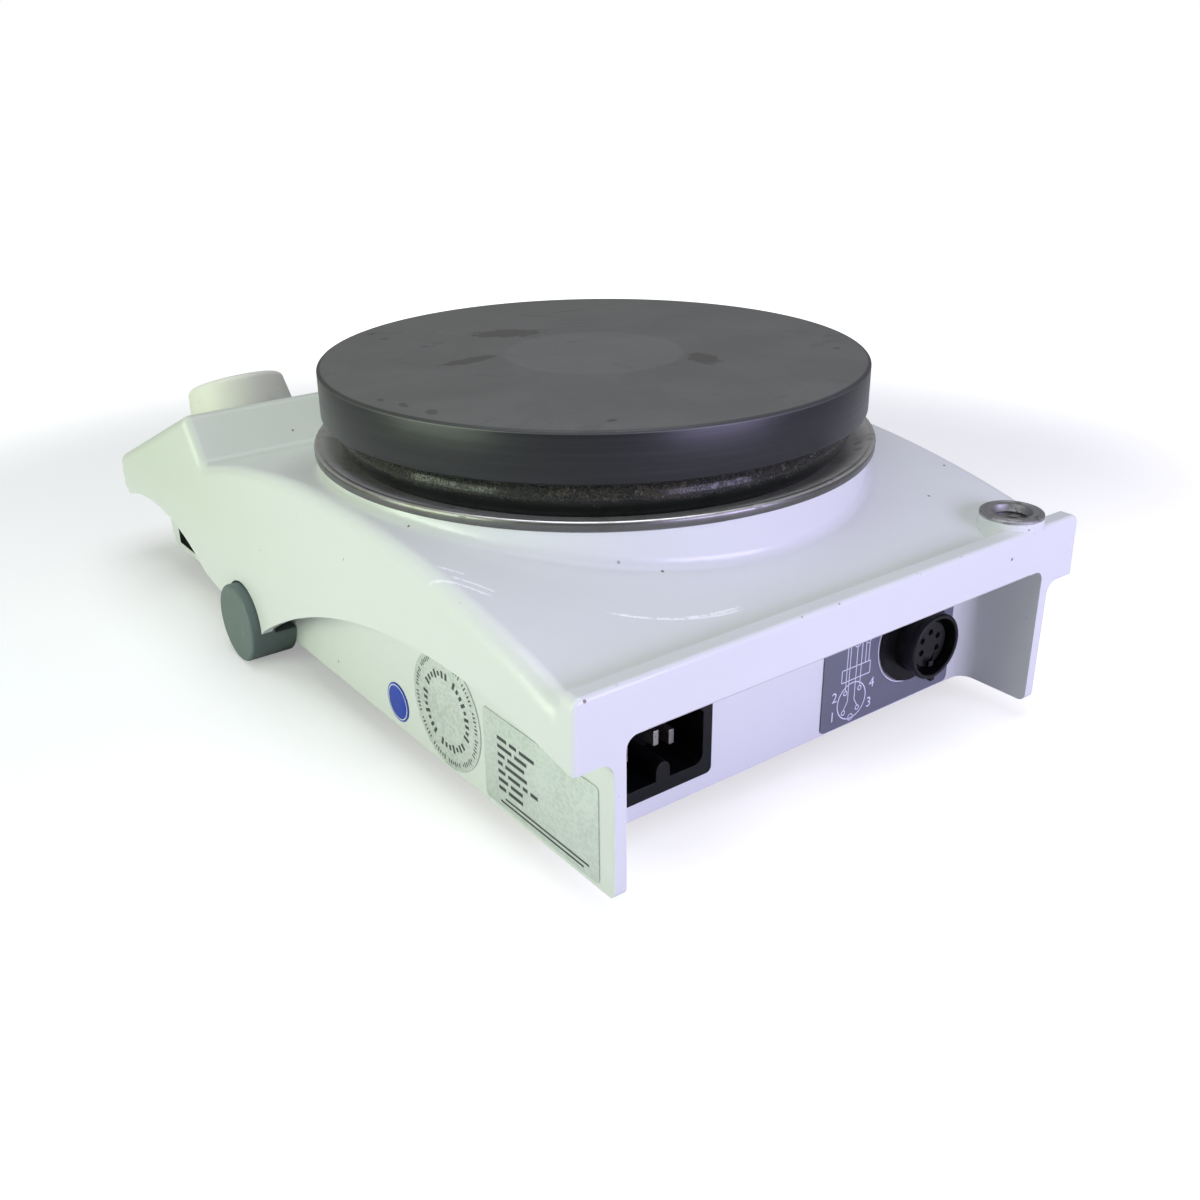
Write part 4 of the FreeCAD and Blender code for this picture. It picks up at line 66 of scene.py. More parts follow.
class Wire:
    """A node's output that can be used in an expression."""

    def __init__(self, nodes: "Nodes", socket: bpy.types.NodeSocket) -> None:
        """Wraps one output socket of a tree."""
        self.nodes = nodes
        self.socket = socket

    def _math(self, operation: str, first: "Wire | Number", second: "Wire | Number") -> "Wire":
        """Adds a Math node.

        Args:
            operation: the node's operation.
            first: left operand.
            second: right operand.

        Returns:
            The node's result.
        """
        return self.nodes.node("ShaderNodeMath", {"operation": operation}, {0: first, 1: second})

    def __add__(self, other: "Wire | Number") -> "Wire":
        """Sum."""
        return self._math("ADD", self, other)

    def __radd__(self, other: Number) -> "Wire":
        """Sum with a number on the left."""
        return self._math("ADD", other, self)

    def __sub__(self, other: "Wire | Number") -> "Wire":
        """Difference."""
        return self._math("SUBTRACT", self, other)

    def __rsub__(self, other: Number) -> "Wire":
        """Difference with a number on the left."""
        return self._math("SUBTRACT", other, self)

    def __mul__(self, other: "Wire | Number") -> "Wire":
        """Product."""
        return self._math("MULTIPLY", self, other)

    def __rmul__(self, other: Number) -> "Wire":
        """Product with a number on the left."""
        return self._math("MULTIPLY", other, self)

    def __truediv__(self, other: "Wire | Number") -> "Wire":
        """Quotient."""
        return self._math("DIVIDE", self, other)

    def __pow__(self, other: "Wire | Number") -> "Wire":
        """Power."""
        return self._math("POWER", self, other)

    def at_least(self, other: "Wire | Number") -> "Wire":
        """The larger of two values."""
        return self._math("MAXIMUM", self, other)

    def at_most(self, other: "Wire | Number") -> "Wire":
        """The smaller of two values."""
        return self._math("MINIMUM", self, other)

    def sine(self) -> "Wire":
        """Sine of an angle in radians."""
        return self._math("SINE", self, 0.0)

    def size(self) -> "Wire":
        """Absolute value."""
        return self._math("ABSOLUTE", self, 0.0)

    def between(self, low: float, high: float) -> "Wire":
        """Runs smoothly from 0 at low to 1 at high.

        Args:
            low: value that gives 0.
            high: value that gives 1; it may be below low.

        Returns:
            The smoothed step.
        """
        return self.nodes.node("ShaderNodeMapRange", {"interpolation_type": "SMOOTHSTEP"},
                               {"Value": self, "From Min": low, "From Max": high, "To Min": 0.0,
                                "To Max": 1.0})


def summed(wires: Iterable[Wire]) -> Wire:
    """Adds up several wires."""
    return reduce(Wire.__add__, wires)


class Nodes:
    """A node tree, written as expressions."""

    def __init__(self, tree: bpy.types.NodeTree) -> None:
        """Empties a tree."""
        self.tree = tree
        tree.nodes.clear()

    def feed(self, socket: bpy.types.NodeSocket, value: object) -> None:
        """Links a wire or sets a constant on a socket.

        Args:
            socket: the input.
            value: a Wire, a number, a colour or a vector.
        """
        if isinstance(value, Wire):
            self.tree.links.new(value.socket, socket)
            return
        if isinstance(value, tuple) and len(value) == 3 and socket.type == "RGBA":
            value = (*value, 1.0)
        socket.default_value = value

    def node(self, kind: str, settings: dict[str, object] | None = None,
             inputs: dict[int | str, object] | None = None, out: int | str = 0) -> Wire:
        """Adds one node.

        Args:
            kind: the node's type.
            settings: its properties.
            inputs: values or wires by socket name or number.
            out: the output to return.

        Returns:
            The chosen output.
        """
        item = self.tree.nodes.new(kind)
        for key, value in (settings or {}).items():
            setattr(item, key, value)
        for key, value in (inputs or {}).items():
            self.feed(item.inputs[key], value)
        return Wire(self, item.outputs[out])


class Recipe(Nodes):
    """A material's node tree with one shader."""

    def __init__(self, name: str) -> None:
        """Makes the material.

        Args:
            name: its name.
        """
        self.material = bpy.data.materials.new(name)
        self.material.use_nodes = True
        super().__init__(self.material.node_tree)
        self.output = self.tree.nodes.new("ShaderNodeOutputMaterial")
        self.shader = self.tree.nodes.new("ShaderNodeBsdfPrincipled")
        self.tree.links.new(self.shader.outputs[0], self.output.inputs[0])

    def place(self, scale: Sequence[float] = (1, 1, 1), turn: Sequence[float] = (0, 0, 0),
              shift: Sequence[float] = (0, 0, 0)) -> Wire:
        """Object coordinates through a Mapping node.

        Args:
            scale: stretch per axis, applied last.
            turn: rotation in degrees.
            shift: point in millimetres that becomes the origin.

        Returns:
            The mapped vector.
        """
        spot = self.node("ShaderNodeTexCoord", out="Object")
        moved = self.node("ShaderNodeVectorMath", {"operation": "SUBTRACT"},
                          {0: spot, 1: tuple(value * MM for value in shift)})
        angles = tuple(math.radians(value) for value in turn)
        turned = self.node("ShaderNodeMapping", {}, {"Vector": moved, "Rotation": angles})
        return self.node("ShaderNodeVectorMath", {"operation": "MULTIPLY"},
                         {0: turned, 1: tuple(scale)})

    def axis(self, name: str, spot: Wire | None = None) -> Wire:
        """One coordinate in millimetres.

        Args:
            name: X, Y or Z.
            spot: the place to read, or plain object coordinates.

        Returns:
            The coordinate.
        """
        return self.node("ShaderNodeSeparateXYZ", {}, {0: spot or self.place()}, name) / MM

    def away(self, x: float, y: float) -> Wire:
        """Distance from an upright line.

        Args:
            x: the line's place across, in millimetres.
            y: its place in depth.

        Returns:
            The distance in millimetres.
        """
        spot = self.place(shift=(x, y, 0))
        across, along = self.axis("X", spot), self.axis("Y", spot)
        return (across * across + along * along) ** 0.5

    def noise(self, grain: float, detail: float = 4.0, rough: float = 0.5, at: Wire | None = None,
              twist: float = 0.0) -> Wire:
        """Cloudy noise.

        Args:
            grain: size of its features in millimetres.
            detail: octaves.
            rough: strength of the finer octaves.
            at: vector to read, or plain object coordinates.
            twist: distortion.

        Returns:
            A value around 0.5.
        """
        return self.node("ShaderNodeTexNoise", {},
                         {"Vector": at or self.place(), "Scale": 1.0 / (grain * MM), "Detail": detail,
                          "Roughness": rough, "Distortion": twist})

    def cells(self, grain: float, at: Wire | None = None) -> Wire:
        """Distance to the nearest of a scatter of points, in cells.

        Args:
            grain: spacing in millimetres.
            at: vector to read, or plain object coordinates.

        Returns:
            The distance.
        """
        return self.node("ShaderNodeTexVoronoi", {},
                         {"Vector": at or self.place(), "Scale": 1.0 / (grain * MM), "Randomness": 1.0},
                         "Distance")

    def mix(self, factor: "Wire | Number", first: "Wire | Colour", second: "Wire | Colour") -> Wire:
        """Blends two colours.

        Args:
            factor: 0 gives the first, 1 the second.
            first: a colour.
            second: a colour.

        Returns:
            The blend.
        """
        return self.node("ShaderNodeMix", {"data_type": "RGBA"}, {0: factor, 6: first, 7: second}, 2)

    def bump(self, height: Wire, depth: float, strength: float = 1.0) -> Wire:
        """Turns a height into a normal.

        Args:
            height: height from 0 to 1.
            depth: millimetres that 1 stands for.
            strength: how much of it shows.

        Returns:
            The normal.
        """
        return self.node("ShaderNodeBump", {},
                         {"Height": height, "Distance": depth * MM, "Strength": strength})

    def finish(self, **sockets: object) -> bpy.types.Material:
        """Feeds the shader and returns the material.

        Args:
            sockets: values by socket name, with underscores for spaces.

        Returns:
            The material.
        """
        for key, value in sockets.items():
            self.feed(self.shader.inputs[key.replace("_", " ")], value)
        return self.material


def toned(colour: Colour, factor: float) -> Colour:
    """A colour made darker or lighter by a factor."""
    return tuple(value * factor for value in colour)


# Finishes


@dataclass(frozen=True)
class CastingCoat:
    """The hard off-white coating of the casting, with scratches and specks, a painted shadow line under
    the rail and a painted dark green reflection on the front's upper part.
    """

    colour: Colour = (0.73, 0.755, 0.735)
    yellowed: Colour = (0.66, 0.665, 0.60)
    # colour of the painted dark green reflection on the front's upper part
    reflected_green: Colour = (0.645, 0.695, 0.600)
    scuff: Colour = (0.97, 0.97, 0.98)
    # dark colour of the specks and of the painted shadow line under the rail
    speck_and_shadow: Colour = (0.13, 0.075, 0.03)
    rail_face: float = 138.5
    rail_top: float = 57.4
    rail_foot: float = 44.8
    rail_half: float = 64.0
    deck_low: float = 50.0
    # x, y and radius of each curve, then x, y and reach of the part of it that shows
    marks: tuple[tuple[float, float, float, float, float, float], ...] = (
        (24.8, 82.7, 42.5, 41.1, 121.9, 17.0),
        (26.0, 80.0, 44.2, 33.0, 123.5, 8.0),
        (189.4, 149.3, 127.2, 77.2, 89.9, 8.5),
        (189.4, 149.3, 129.2, 74.6, 91.0, 6.0),
        (189.4, 149.3, 131.5, 75.0, 83.0, 4.0),
    )

    def build(self) -> bpy.types.Material:
        """Returns the material."""
        r = Recipe("casting_coat")
        cloud = r.noise(60, 3, 0.5)
        tone = r.mix(cloud.between(0.3, 0.7), self.colour, toned(self.colour, 0.965))
        yellow = r.noise(35, 5, 0.6, twist=0.6).between(0.62, 0.82) * 0.35
        tone = r.mix(yellow, tone, self.yellowed)
        # painted reflection: a darker, greener tint towards the front and higher up
        tone = r.mix(r.axis("Y").between(40, -120) * r.axis("Z").between(20, 45), tone, self.reflected_green)
        spots = r.cells(9.0).between(0.058, 0.036) * r.noise(14, 2, 0.5).between(0.53, 0.57)
        fine = r.cells(4.2, r.place(shift=(3, 1, 7))).between(0.040, 0.022)
        fine = fine * r.noise(22, 2, 0.5).between(0.58, 0.64)
        # specks, nicks and the painted shadow line under the rail, all in the dark speck colour
        specks_and_shadow = (spots + fine * 0.7 + self._nicks_and_shadow_line(r)).at_most(1.0)
        streaks = self._scratches(r).at_least(self._long_marks(r))
        tone = r.mix(streaks * 0.9, tone, self.scuff)
        tone = r.mix(specks_and_shadow * 0.85, tone, self.speck_and_shadow)
        peel = r.noise(1.3, 2, 0.5) * 0.4 + r.noise(7, 2, 0.5)
        height = peel - streaks * 0.9
        rough = 0.30 + cloud * 0.10 + streaks * 0.18 + specks_and_shadow * 0.3
        return r.finish(Base_Color=tone, Roughness=rough, Normal=r.bump(height, 0.035, 0.45),
                        Coat_Weight=0.25, Coat_Roughness=0.12)

    def _nicks_and_shadow_line(self, r: Recipe) -> Wire:
        """Dark nicks on the rail's upper edge and a painted shadow line along its lower one.

        Args:
            r: the recipe.

        Returns:
            1 on a nick or on the painted shadow line.
        """
        x, y, z = r.axis("X"), r.axis("Y"), r.axis("Z")
        nicks = r.cells(1.7).between(0.24, 0.14) * r.noise(9, 3, 0.6).between(0.53, 0.63)
        upper = z.between(self.rail_top - 1.3, self.rail_top - 0.7)
        upper = upper * y.between(self.rail_face - 1.2, self.rail_face - 0.5)
        # painted shadow: a dark line along the rail's lower edge, where the lip shades the panel behind
        lower = (z - self.rail_foot).size().between(0.30, 0.12)
        lower = lower * y.between(self.rail_face - 1.6, self.rail_face - 1.2)
        lower = lower * x.size().between(self.rail_half, self.rail_half - 1.0)
        return nicks * upper * 0.7 + lower * 0.5

    def _long_marks(self, r: Recipe) -> Wire:
        """Pale curved scratches behind the plate and on the deck's right shoulder.

        Args:
            r: the recipe.

        Returns:
            1 on a mark.
        """
        ragged = r.noise(1.6, 4, 0.7)
        marks = []
        for x, y, radius, spot_x, spot_y, reach in self.marks:
            line = (r.away(x, y) + ragged * 1.2 - (radius + 0.6)).size().between(0.46, 0.16)
            near = r.away(spot_x, spot_y).between(reach, reach * 0.75)
            marks.append(line * near * ragged.between(0.36, 0.50))
        above = r.axis("Z").between(self.deck_low, self.deck_low + 3.0)
        return (summed(marks) * above).at_most(1.0)

    def _scratches(self, r: Recipe) -> Wire:
        """Thin pale lines in a few directions.

        Args:
            r: the recipe.

        Returns:
            1 on a scratch.
        """
        scratches = []
        for turn, seed in ((24, 0), (-38, 17), (71, 41), (8, 63)):
            at = r.place(scale=(1.0, 0.045, 1.0), turn=(0, 0, turn), shift=(seed, seed * 2, 5))
            line = r.cells(2.6, at).between(0.022, 0.010)
            patch = r.noise(30, 2, 0.5, r.place(shift=(seed * 3, seed, 0))).between(0.60, 0.68)
            scratches.append(line * patch)
        return summed(scratches).at_most(1.0)


@dataclass(frozen=True)
class PlateMetal:
    """The dark turned plate: fine rings, burnt and dull stains, a lighter middle disc painted as sheen,
    and a soft sheen.
    """

    top: Colour = (0.150, 0.152, 0.143)
    edge: Colour = (0.019, 0.020, 0.021)
    lip: Colour = (0.02, 0.021, 0.022)
    # colour of the painted sheen on the middle disc
    centre_sheen: Colour = (0.22, 0.22, 0.21)
    burnt: Colour = (0.070, 0.056, 0.054)
    stained: Colour = (0.055, 0.054, 0.054)
    blotted: Colour = (0.045, 0.045, 0.046)
    dusty: Colour = (0.35, 0.34, 0.31)
    # x and y from the plate's middle, turn in degrees, length and width
    stains: tuple[tuple[float, float, float, float, float], ...] = (
        (5.5, -34.5, -26.0, 11.0, 5.0),
        (32.0, -13.2, 4.0, 9.0, 2.8),
        (-18.0, 25.0, 70.0, 6.5, 4.0),
        (66.9, 14.1, 80.0, 2.0, 1.2),
        (68.9, 6.8, 80.0, 1.5, 1.0),
        (64.6, 23.7, 70.0, 2.4, 1.5),
    )

    def _burns(self, r: Recipe, x: Wire, y: Wire) -> Wire:
        """Dark stains burnt on to the face.

        Args:
            r: the recipe.
            x: millimetres across from the plate's middle.
            y: millimetres in depth from it.

        Returns:
            1 on a stain.
        """
        ragged = r.noise(3.0, 5, 0.65)
        burns = []
        for spot_x, spot_y, turn, length, width in self.stains:
            cos, sin = math.cos(math.radians(turn)), math.sin(math.radians(turn))
            along = ((x - spot_x) * cos + (y - spot_y) * sin) / length
            across = ((y - spot_y) * cos - (x - spot_x) * sin) / width
            reach = (along * along + across * across) ** 0.5
            burns.append((reach + ragged * 1.6 - 0.8).between(1.1, 0.8))
        return summed(burns).at_most(1.0)

    def build(self) -> bpy.types.Material:
        """Returns the material."""
        r = Recipe("plate_metal")
        spot = r.place(shift=(*PLATE_CENTRE, PLATE_TOP))
        x, y, z = (r.axis(name, spot) for name in "XYZ")
        radius = (x * x + y * y) ** 0.5
        rings = (radius * 17.0).sine() * 0.5 + 0.5
        coarse = (radius * 1.35 + r.noise(30, 2) * 3.0).sine() * 0.5 + 0.5
        onside = z.between(-0.55, -0.9)
        cloud = r.noise(26, 5, 0.62, twist=0.5)
        stain = r.noise(17, 4, 0.6, r.place(shift=(8, 3, 0)), 1.2).between(0.60, 0.70)
        blot = r.cells(11, r.place(shift=(4, 2, 0), scale=(1, 1.6, 1))).between(0.16, 0.12)
        blot = blot * r.noise(40, 1, 0.5).between(0.58, 0.62)
        dust = r.cells(5.5, r.place(shift=(1, 6, 2))).between(0.05, 0.03)
        dust = dust * r.noise(30, 2).between(0.6, 0.66)
        burns = self._burns(r, x, y)
        face = r.mix(cloud.between(0.35, 0.7), self.top, toned(self.top, 1.12))
        # painted sheen: a lighter disc in the middle stands in for the plate's bow-tie sheen
        face = r.mix(radius.between(25.2, 23.6) * 0.35, face, self.centre_sheen)
        face = r.mix(burns * 0.55, face, self.burnt)
        face = r.mix(stain * 0.20, face, self.stained)
        face = r.mix(blot * 0.6, face, self.blotted)
        face = r.mix(dust * 0.5, face, self.dusty)
        tone = r.mix(onside, face, self.edge)
        lip = z.size().between(0.95, 0.45) * radius.between(73.4, 74.2)
        tone = r.mix(lip * 0.7, tone, self.lip)
        rough = 0.40 + cloud * 0.10 + stain * 0.10 + coarse * 0.04
        turned = r.noise(1.1, 3, 0.6, r.place(scale=(0.02, 0.02, 1)))
        rough = (rough + burns * 0.12) * (1 - onside) + (0.26 + turned * 0.10) * onside
        tone = r.mix(onside * turned.between(0.50, 0.66) * 0.2, tone, toned(self.edge, 2.4))
        height = rings * 0.5 + coarse * 0.25 + r.noise(0.6, 2) * 0.5 + turned * onside * 0.3
        return r.finish(Base_Color=tone, Roughness=rough, Metallic=0.35,
                        Normal=r.bump(height, 0.012, 0.5))


@dataclass(frozen=True)
class DustyRing:
    """Glossy black ring whose shoulder holds grey fluff and brown grease."""

    black: Colour = (0.006, 0.0075, 0.0065)
    dust: Colour = (0.060, 0.060, 0.040)
    grease: Colour = (0.120, 0.105, 0.068)
    lint: Colour = (0.46, 0.46, 0.40)

    def build(self) -> bpy.types.Material:
        """Returns the material."""
        r = Recipe("dusty_ring")
        shoulder = (r.axis("Z") + (r.noise(9, 4, 0.65) - 0.5) * 6.0).between(75.2, 77.6)
        fluff = r.noise(1.1, 8, 0.72, twist=1.6).between(0.47, 0.64)
        hair = r.noise(0.9, 5, 0.6, r.place(scale=(0.22, 1, 1), turn=(0, 0, 33)))
        hair = hair.between(0.60, 0.70)
        grain = r.cells(1.9).between(0.15, 0.07) * r.noise(6, 2).between(0.52, 0.60)
        load = (shoulder * (fluff * 0.85 + hair * 0.5 + 0.12) + grain * 0.5).at_most(1.0)
        lint = r.noise(0.55, 6, 0.7, r.place(scale=(0.3, 1, 0.6), turn=(0, 0, -20)))
        fluffy = r.mix(r.noise(12, 3).between(0.42, 0.6), self.dust, self.grease)
        fluffy = r.mix(lint.between(0.58, 0.66) * 0.8, fluffy, self.lint)
        tone = r.mix(load, self.black, fluffy)
        return r.finish(Base_Color=tone, Roughness=0.17 + load * 0.6,
                        Normal=r.bump(load + r.noise(2, 3) * 0.3, 0.35, 0.55),
                        Coat_Weight=(1 - load) * 0.3, Coat_Roughness=0.08, Specular_IOR_Level=0.25)


@dataclass(frozen=True)
class WornSheet:
    """Bright sheet steel, heat-stained and dulled where drops dried, with painted shade on the tray
    rim's outer face.
    """

    name: str = "worn_sheet"
    colour: Colour = (0.80, 0.80, 0.77)
    stain: Colour = (0.52, 0.50, 0.44)
    rough: float = 0.30
    # colour of the painted shade on the rim's outer face
    outer_shade: Colour = (0.10, 0.10, 0.095)
    rim_radius: float = 76.0
    outer_radius: float = 77.15
    outer_tone: float = 0.12

    def build(self) -> bpy.types.Material:
        """Returns the material."""
        r = Recipe(self.name)
        cloud = r.noise(14, 5, 0.62, twist=0.7)
        drops = r.cells(4.6).between(0.34, 0.27) * r.noise(18, 2).between(0.5, 0.56)
        tone = r.mix(cloud.between(0.46, 0.70) * 0.8, self.colour, self.stain)
        tone = r.mix(drops * 0.35, tone, toned(self.stain, 0.55))
        radius = r.away(*PLATE_CENTRE)
        outside = radius.between(self.outer_radius, self.outer_radius + 0.12)
        rim = radius.between(self.rim_radius - 0.4, self.rim_radius)
        # painted shade: the rim's outer face, beyond outer_radius, is darkened
        tone = r.mix(outside * (1 - self.outer_tone), tone, self.outer_shade)
        lines = r.noise(0.5, 2, 0.5, r.place(scale=(1, 1, 0.2)))
        rough = self.rough + cloud * 0.22 + drops * 0.2
        return r.finish(Base_Color=tone, Metallic=rim * 0.6 + 0.35, Roughness=rough - rim * 0.10,
                        Normal=r.bump(lines + cloud, 0.02, 0.3))


@dataclass(frozen=True)
class TurnedSteel:
    """Machined steel with fine tool marks and a little tarnish."""

    name: str = "turned_steel"
    colour: Colour = (0.50, 0.50, 0.49)
    tarnish: Colour = (0.22, 0.20, 0.17)
    rough: float = 0.28

    def build(self) -> bpy.types.Material:
        """Returns the material."""
        r = Recipe(self.name)
        cloud = r.noise(5, 5, 0.65, twist=0.5)
        tone = r.mix(cloud.between(0.5, 0.72) * 0.75, self.colour, self.tarnish)
        marks = r.noise(0.35, 2, 0.5, r.place(scale=(1, 1, 2.5)))
        pits = r.cells(0.9).between(0.34, 0.20) * r.noise(3, 3).between(0.48, 0.60)
        tone = r.mix(pits * 0.6, tone, toned(self.tarnish, 0.4))
        return r.finish(Base_Color=tone, Metallic=0.95, Roughness=self.rough + cloud * 0.25 + pits * 0.2,
                        Normal=r.bump(marks - pits, 0.03, 0.4))


@dataclass(frozen=True)
class Moulding:
    """Moulded plastic with a fine spark-eroded grain, rubbed smooth in places."""

    name: str
    colour: Colour
    worn: Colour
    rough: float = 0.42
    grain: float = 0.5
    depth: float = 0.03
    wear: float = 0.35
    shine: float = 0.5

    def build(self) -> bpy.types.Material:
        """Returns the material."""
        r = Recipe(self.name)
        cloud = r.noise(18, 4, 0.6, twist=0.4)
        rub = r.noise(8, 5, 0.7, twist=0.8).between(0.56, 0.74)
        tone = r.mix(rub * self.wear, self.colour, self.worn)
        nick = r.cells(3.4, r.place(scale=(1, 0.35, 1), turn=(12, 0, 30))).between(0.05, 0.02)
        nick = nick * r.noise(15, 2).between(0.56, 0.62)
        tone = r.mix(nick * 0.5, tone, self.worn)
        skin = r.noise(self.grain, 2, 0.5)
        rough = self.rough + cloud * 0.14 - rub * 0.08 + nick * 0.2
        height = skin - nick * 0.5
        return r.finish(Base_Color=tone, Roughness=rough, Normal=r.bump(height, self.depth, 0.4),
                        Specular_IOR_Level=self.shine)


@dataclass(frozen=True)
class Film:
    """Printed film: an even colour with a faint weave and dust."""

    name: str
    colour: Colour
    rough: float = 0.38
    dusty: Colour = (0.45, 0.45, 0.48)

    def build(self) -> bpy.types.Material:
        """Returns the material."""
        r = Recipe(self.name)
        cloud = r.noise(22, 3, 0.5)
        tone = r.mix(cloud.between(0.35, 0.7), self.colour, toned(self.colour, 1.12))
        dust = r.cells(3.8).between(0.055, 0.03) * r.noise(12, 2).between(0.57, 0.62)
        tone = r.mix(dust * 0.6, tone, self.dusty)
        return r.finish(Base_Color=tone, Roughness=self.rough + cloud * 0.1 + dust * 0.3,
                        Normal=r.bump(r.noise(0.8, 2) + dust, 0.012, 0.35))


@dataclass(frozen=True)
class SilverFoil:
    """Pale foil with a slight crinkle and a mottled sheen."""

    name: str = "silver_foil"
    colour: Colour = (0.66, 0.70, 0.66)
    shade: Colour = (0.50, 0.55, 0.52)
    sheen: Colour = (0.66, 0.70, 0.66)

    def build(self) -> bpy.types.Material:
        """Returns the material."""
        r = Recipe(self.name)
        mottle = r.cells(1.3, r.place(scale=(1, 1, 1.4)))
        cloud = r.noise(9, 4, 0.6)
        tone = r.mix((mottle * 0.5 + cloud * 0.6).between(0.25, 0.75), self.shade, self.colour)
        tone = r.mix(r.noise(24, 2).between(0.5, 0.7) * 0.25, tone, self.sheen)
        return r.finish(Base_Color=tone, Metallic=0.25, Roughness=0.36 + cloud * 0.14,
                        Normal=r.bump(mottle + cloud, 0.03, 0.4))


@dataclass(frozen=True)
class Ink:
    """Printed ink, a little worn through."""

    name: str
    colour: Colour
    under: Colour

    def build(self) -> bpy.types.Material:
        """Returns the material."""
        r = Recipe(self.name)
        worn = r.noise(2.2, 5, 0.7).between(0.60, 0.78)
        tone = r.mix(worn * 0.5, self.colour, self.under)
        return r.finish(Base_Color=tone, Roughness=0.42 + worn * 0.2)


@dataclass(frozen=True)
class BoardLacquer:
    """Green lacquered board with copper showing as raised tracks."""

    lacquer: Colour = (0.018, 0.11, 0.045)
    track: Colour = (0.045, 0.20, 0.075)
    solder: Colour = (0.46, 0.44, 0.38)

    def build(self) -> bpy.types.Material:
        """Returns the material."""
        r = Recipe("board_lacquer")
        across = (r.axis("X") * 1.9 + r.noise(24, 1) * 5.0).sine()
        along = (r.axis("Y") * 1.6 + r.noise(17, 1) * 5.0).sine()
        tracks = across.at_least(along).between(0.80, 0.90)
        pads = r.cells(4.0).between(0.20, 0.15)
        tone = r.mix(tracks, self.lacquer, self.track)
        tone = r.mix(pads, tone, self.solder)
        return r.finish(Base_Color=tone, Metallic=pads * 0.8, Roughness=0.28 + r.noise(6, 3) * 0.15,
                        Normal=r.bump(tracks + pads, 0.03, 0.6))


@dataclass(frozen=True)
class MineralWool:
    """Pressed fibres."""

    shade: Colour = (0.42, 0.38, 0.28)
    fibre: Colour = (0.66, 0.62, 0.52)

    def build(self) -> bpy.types.Material:
        """Returns the material."""
        r = Recipe("mineral_wool")
        fibre = r.noise(1.0, 8, 0.75, r.place(scale=(1, 1, 4)), 1.5)
        return r.finish(Base_Color=r.mix(fibre, self.shade, self.fibre), Roughness=0.92,
                        Normal=r.bump(fibre, 0.5, 0.8))


@dataclass(frozen=True)
class Windings:
    """Varnished wire wound round a core."""

    gap: Colour = (0.16, 0.06, 0.02)
    wire: Colour = (0.42, 0.20, 0.08)
    varnish: Colour = (0.10, 0.09, 0.08)

    def build(self) -> bpy.types.Material:
        """Returns the material."""
        r = Recipe("windings")
        turns = (r.axis("Y") * 9.0).sine() * 0.5 + 0.5
        cloud = r.noise(6, 4)
        tone = r.mix(turns, self.gap, self.wire)
        tone = r.mix(cloud.between(0.5, 0.7) * 0.5, tone, self.varnish)
        return r.finish(Base_Color=tone, Roughness=0.35 + cloud * 0.2, Normal=r.bump(turns, 0.15, 0.7))


@dataclass(frozen=True)
class SmokedPane:
    """The clear dark pane over the display."""

    clean: Colour = (0.010, 0.012, 0.014)
    smeared: Colour = (0.022, 0.024, 0.027)

    def build(self) -> bpy.types.Material:
        """Returns the material."""
        r = Recipe("smoked_pane")
        smear = r.noise(9, 4, 0.6, r.place(scale=(1, 0.4, 1)))
        tone = r.mix(smear.between(0.4, 0.8), self.clean, self.smeared)
        return r.finish(Base_Color=tone, Roughness=0.08 + smear * 0.10, Alpha=0.72, IOR=1.49)


@dataclass(frozen=True)
class Lamp:
    """A tinted lens with a faint inner glow."""

    name: str
    colour: Colour

    def build(self) -> bpy.types.Material:
        """Returns the material."""
        r = Recipe(self.name)
        core = r.noise(1.1, 2).between(0.3, 0.7)
        tone = r.mix(core, toned(self.colour, 0.6), self.colour)
        return r.finish(Base_Color=tone, Roughness=0.12 + core * 0.06, Coat_Weight=0.6,
                        Coat_Roughness=0.05)


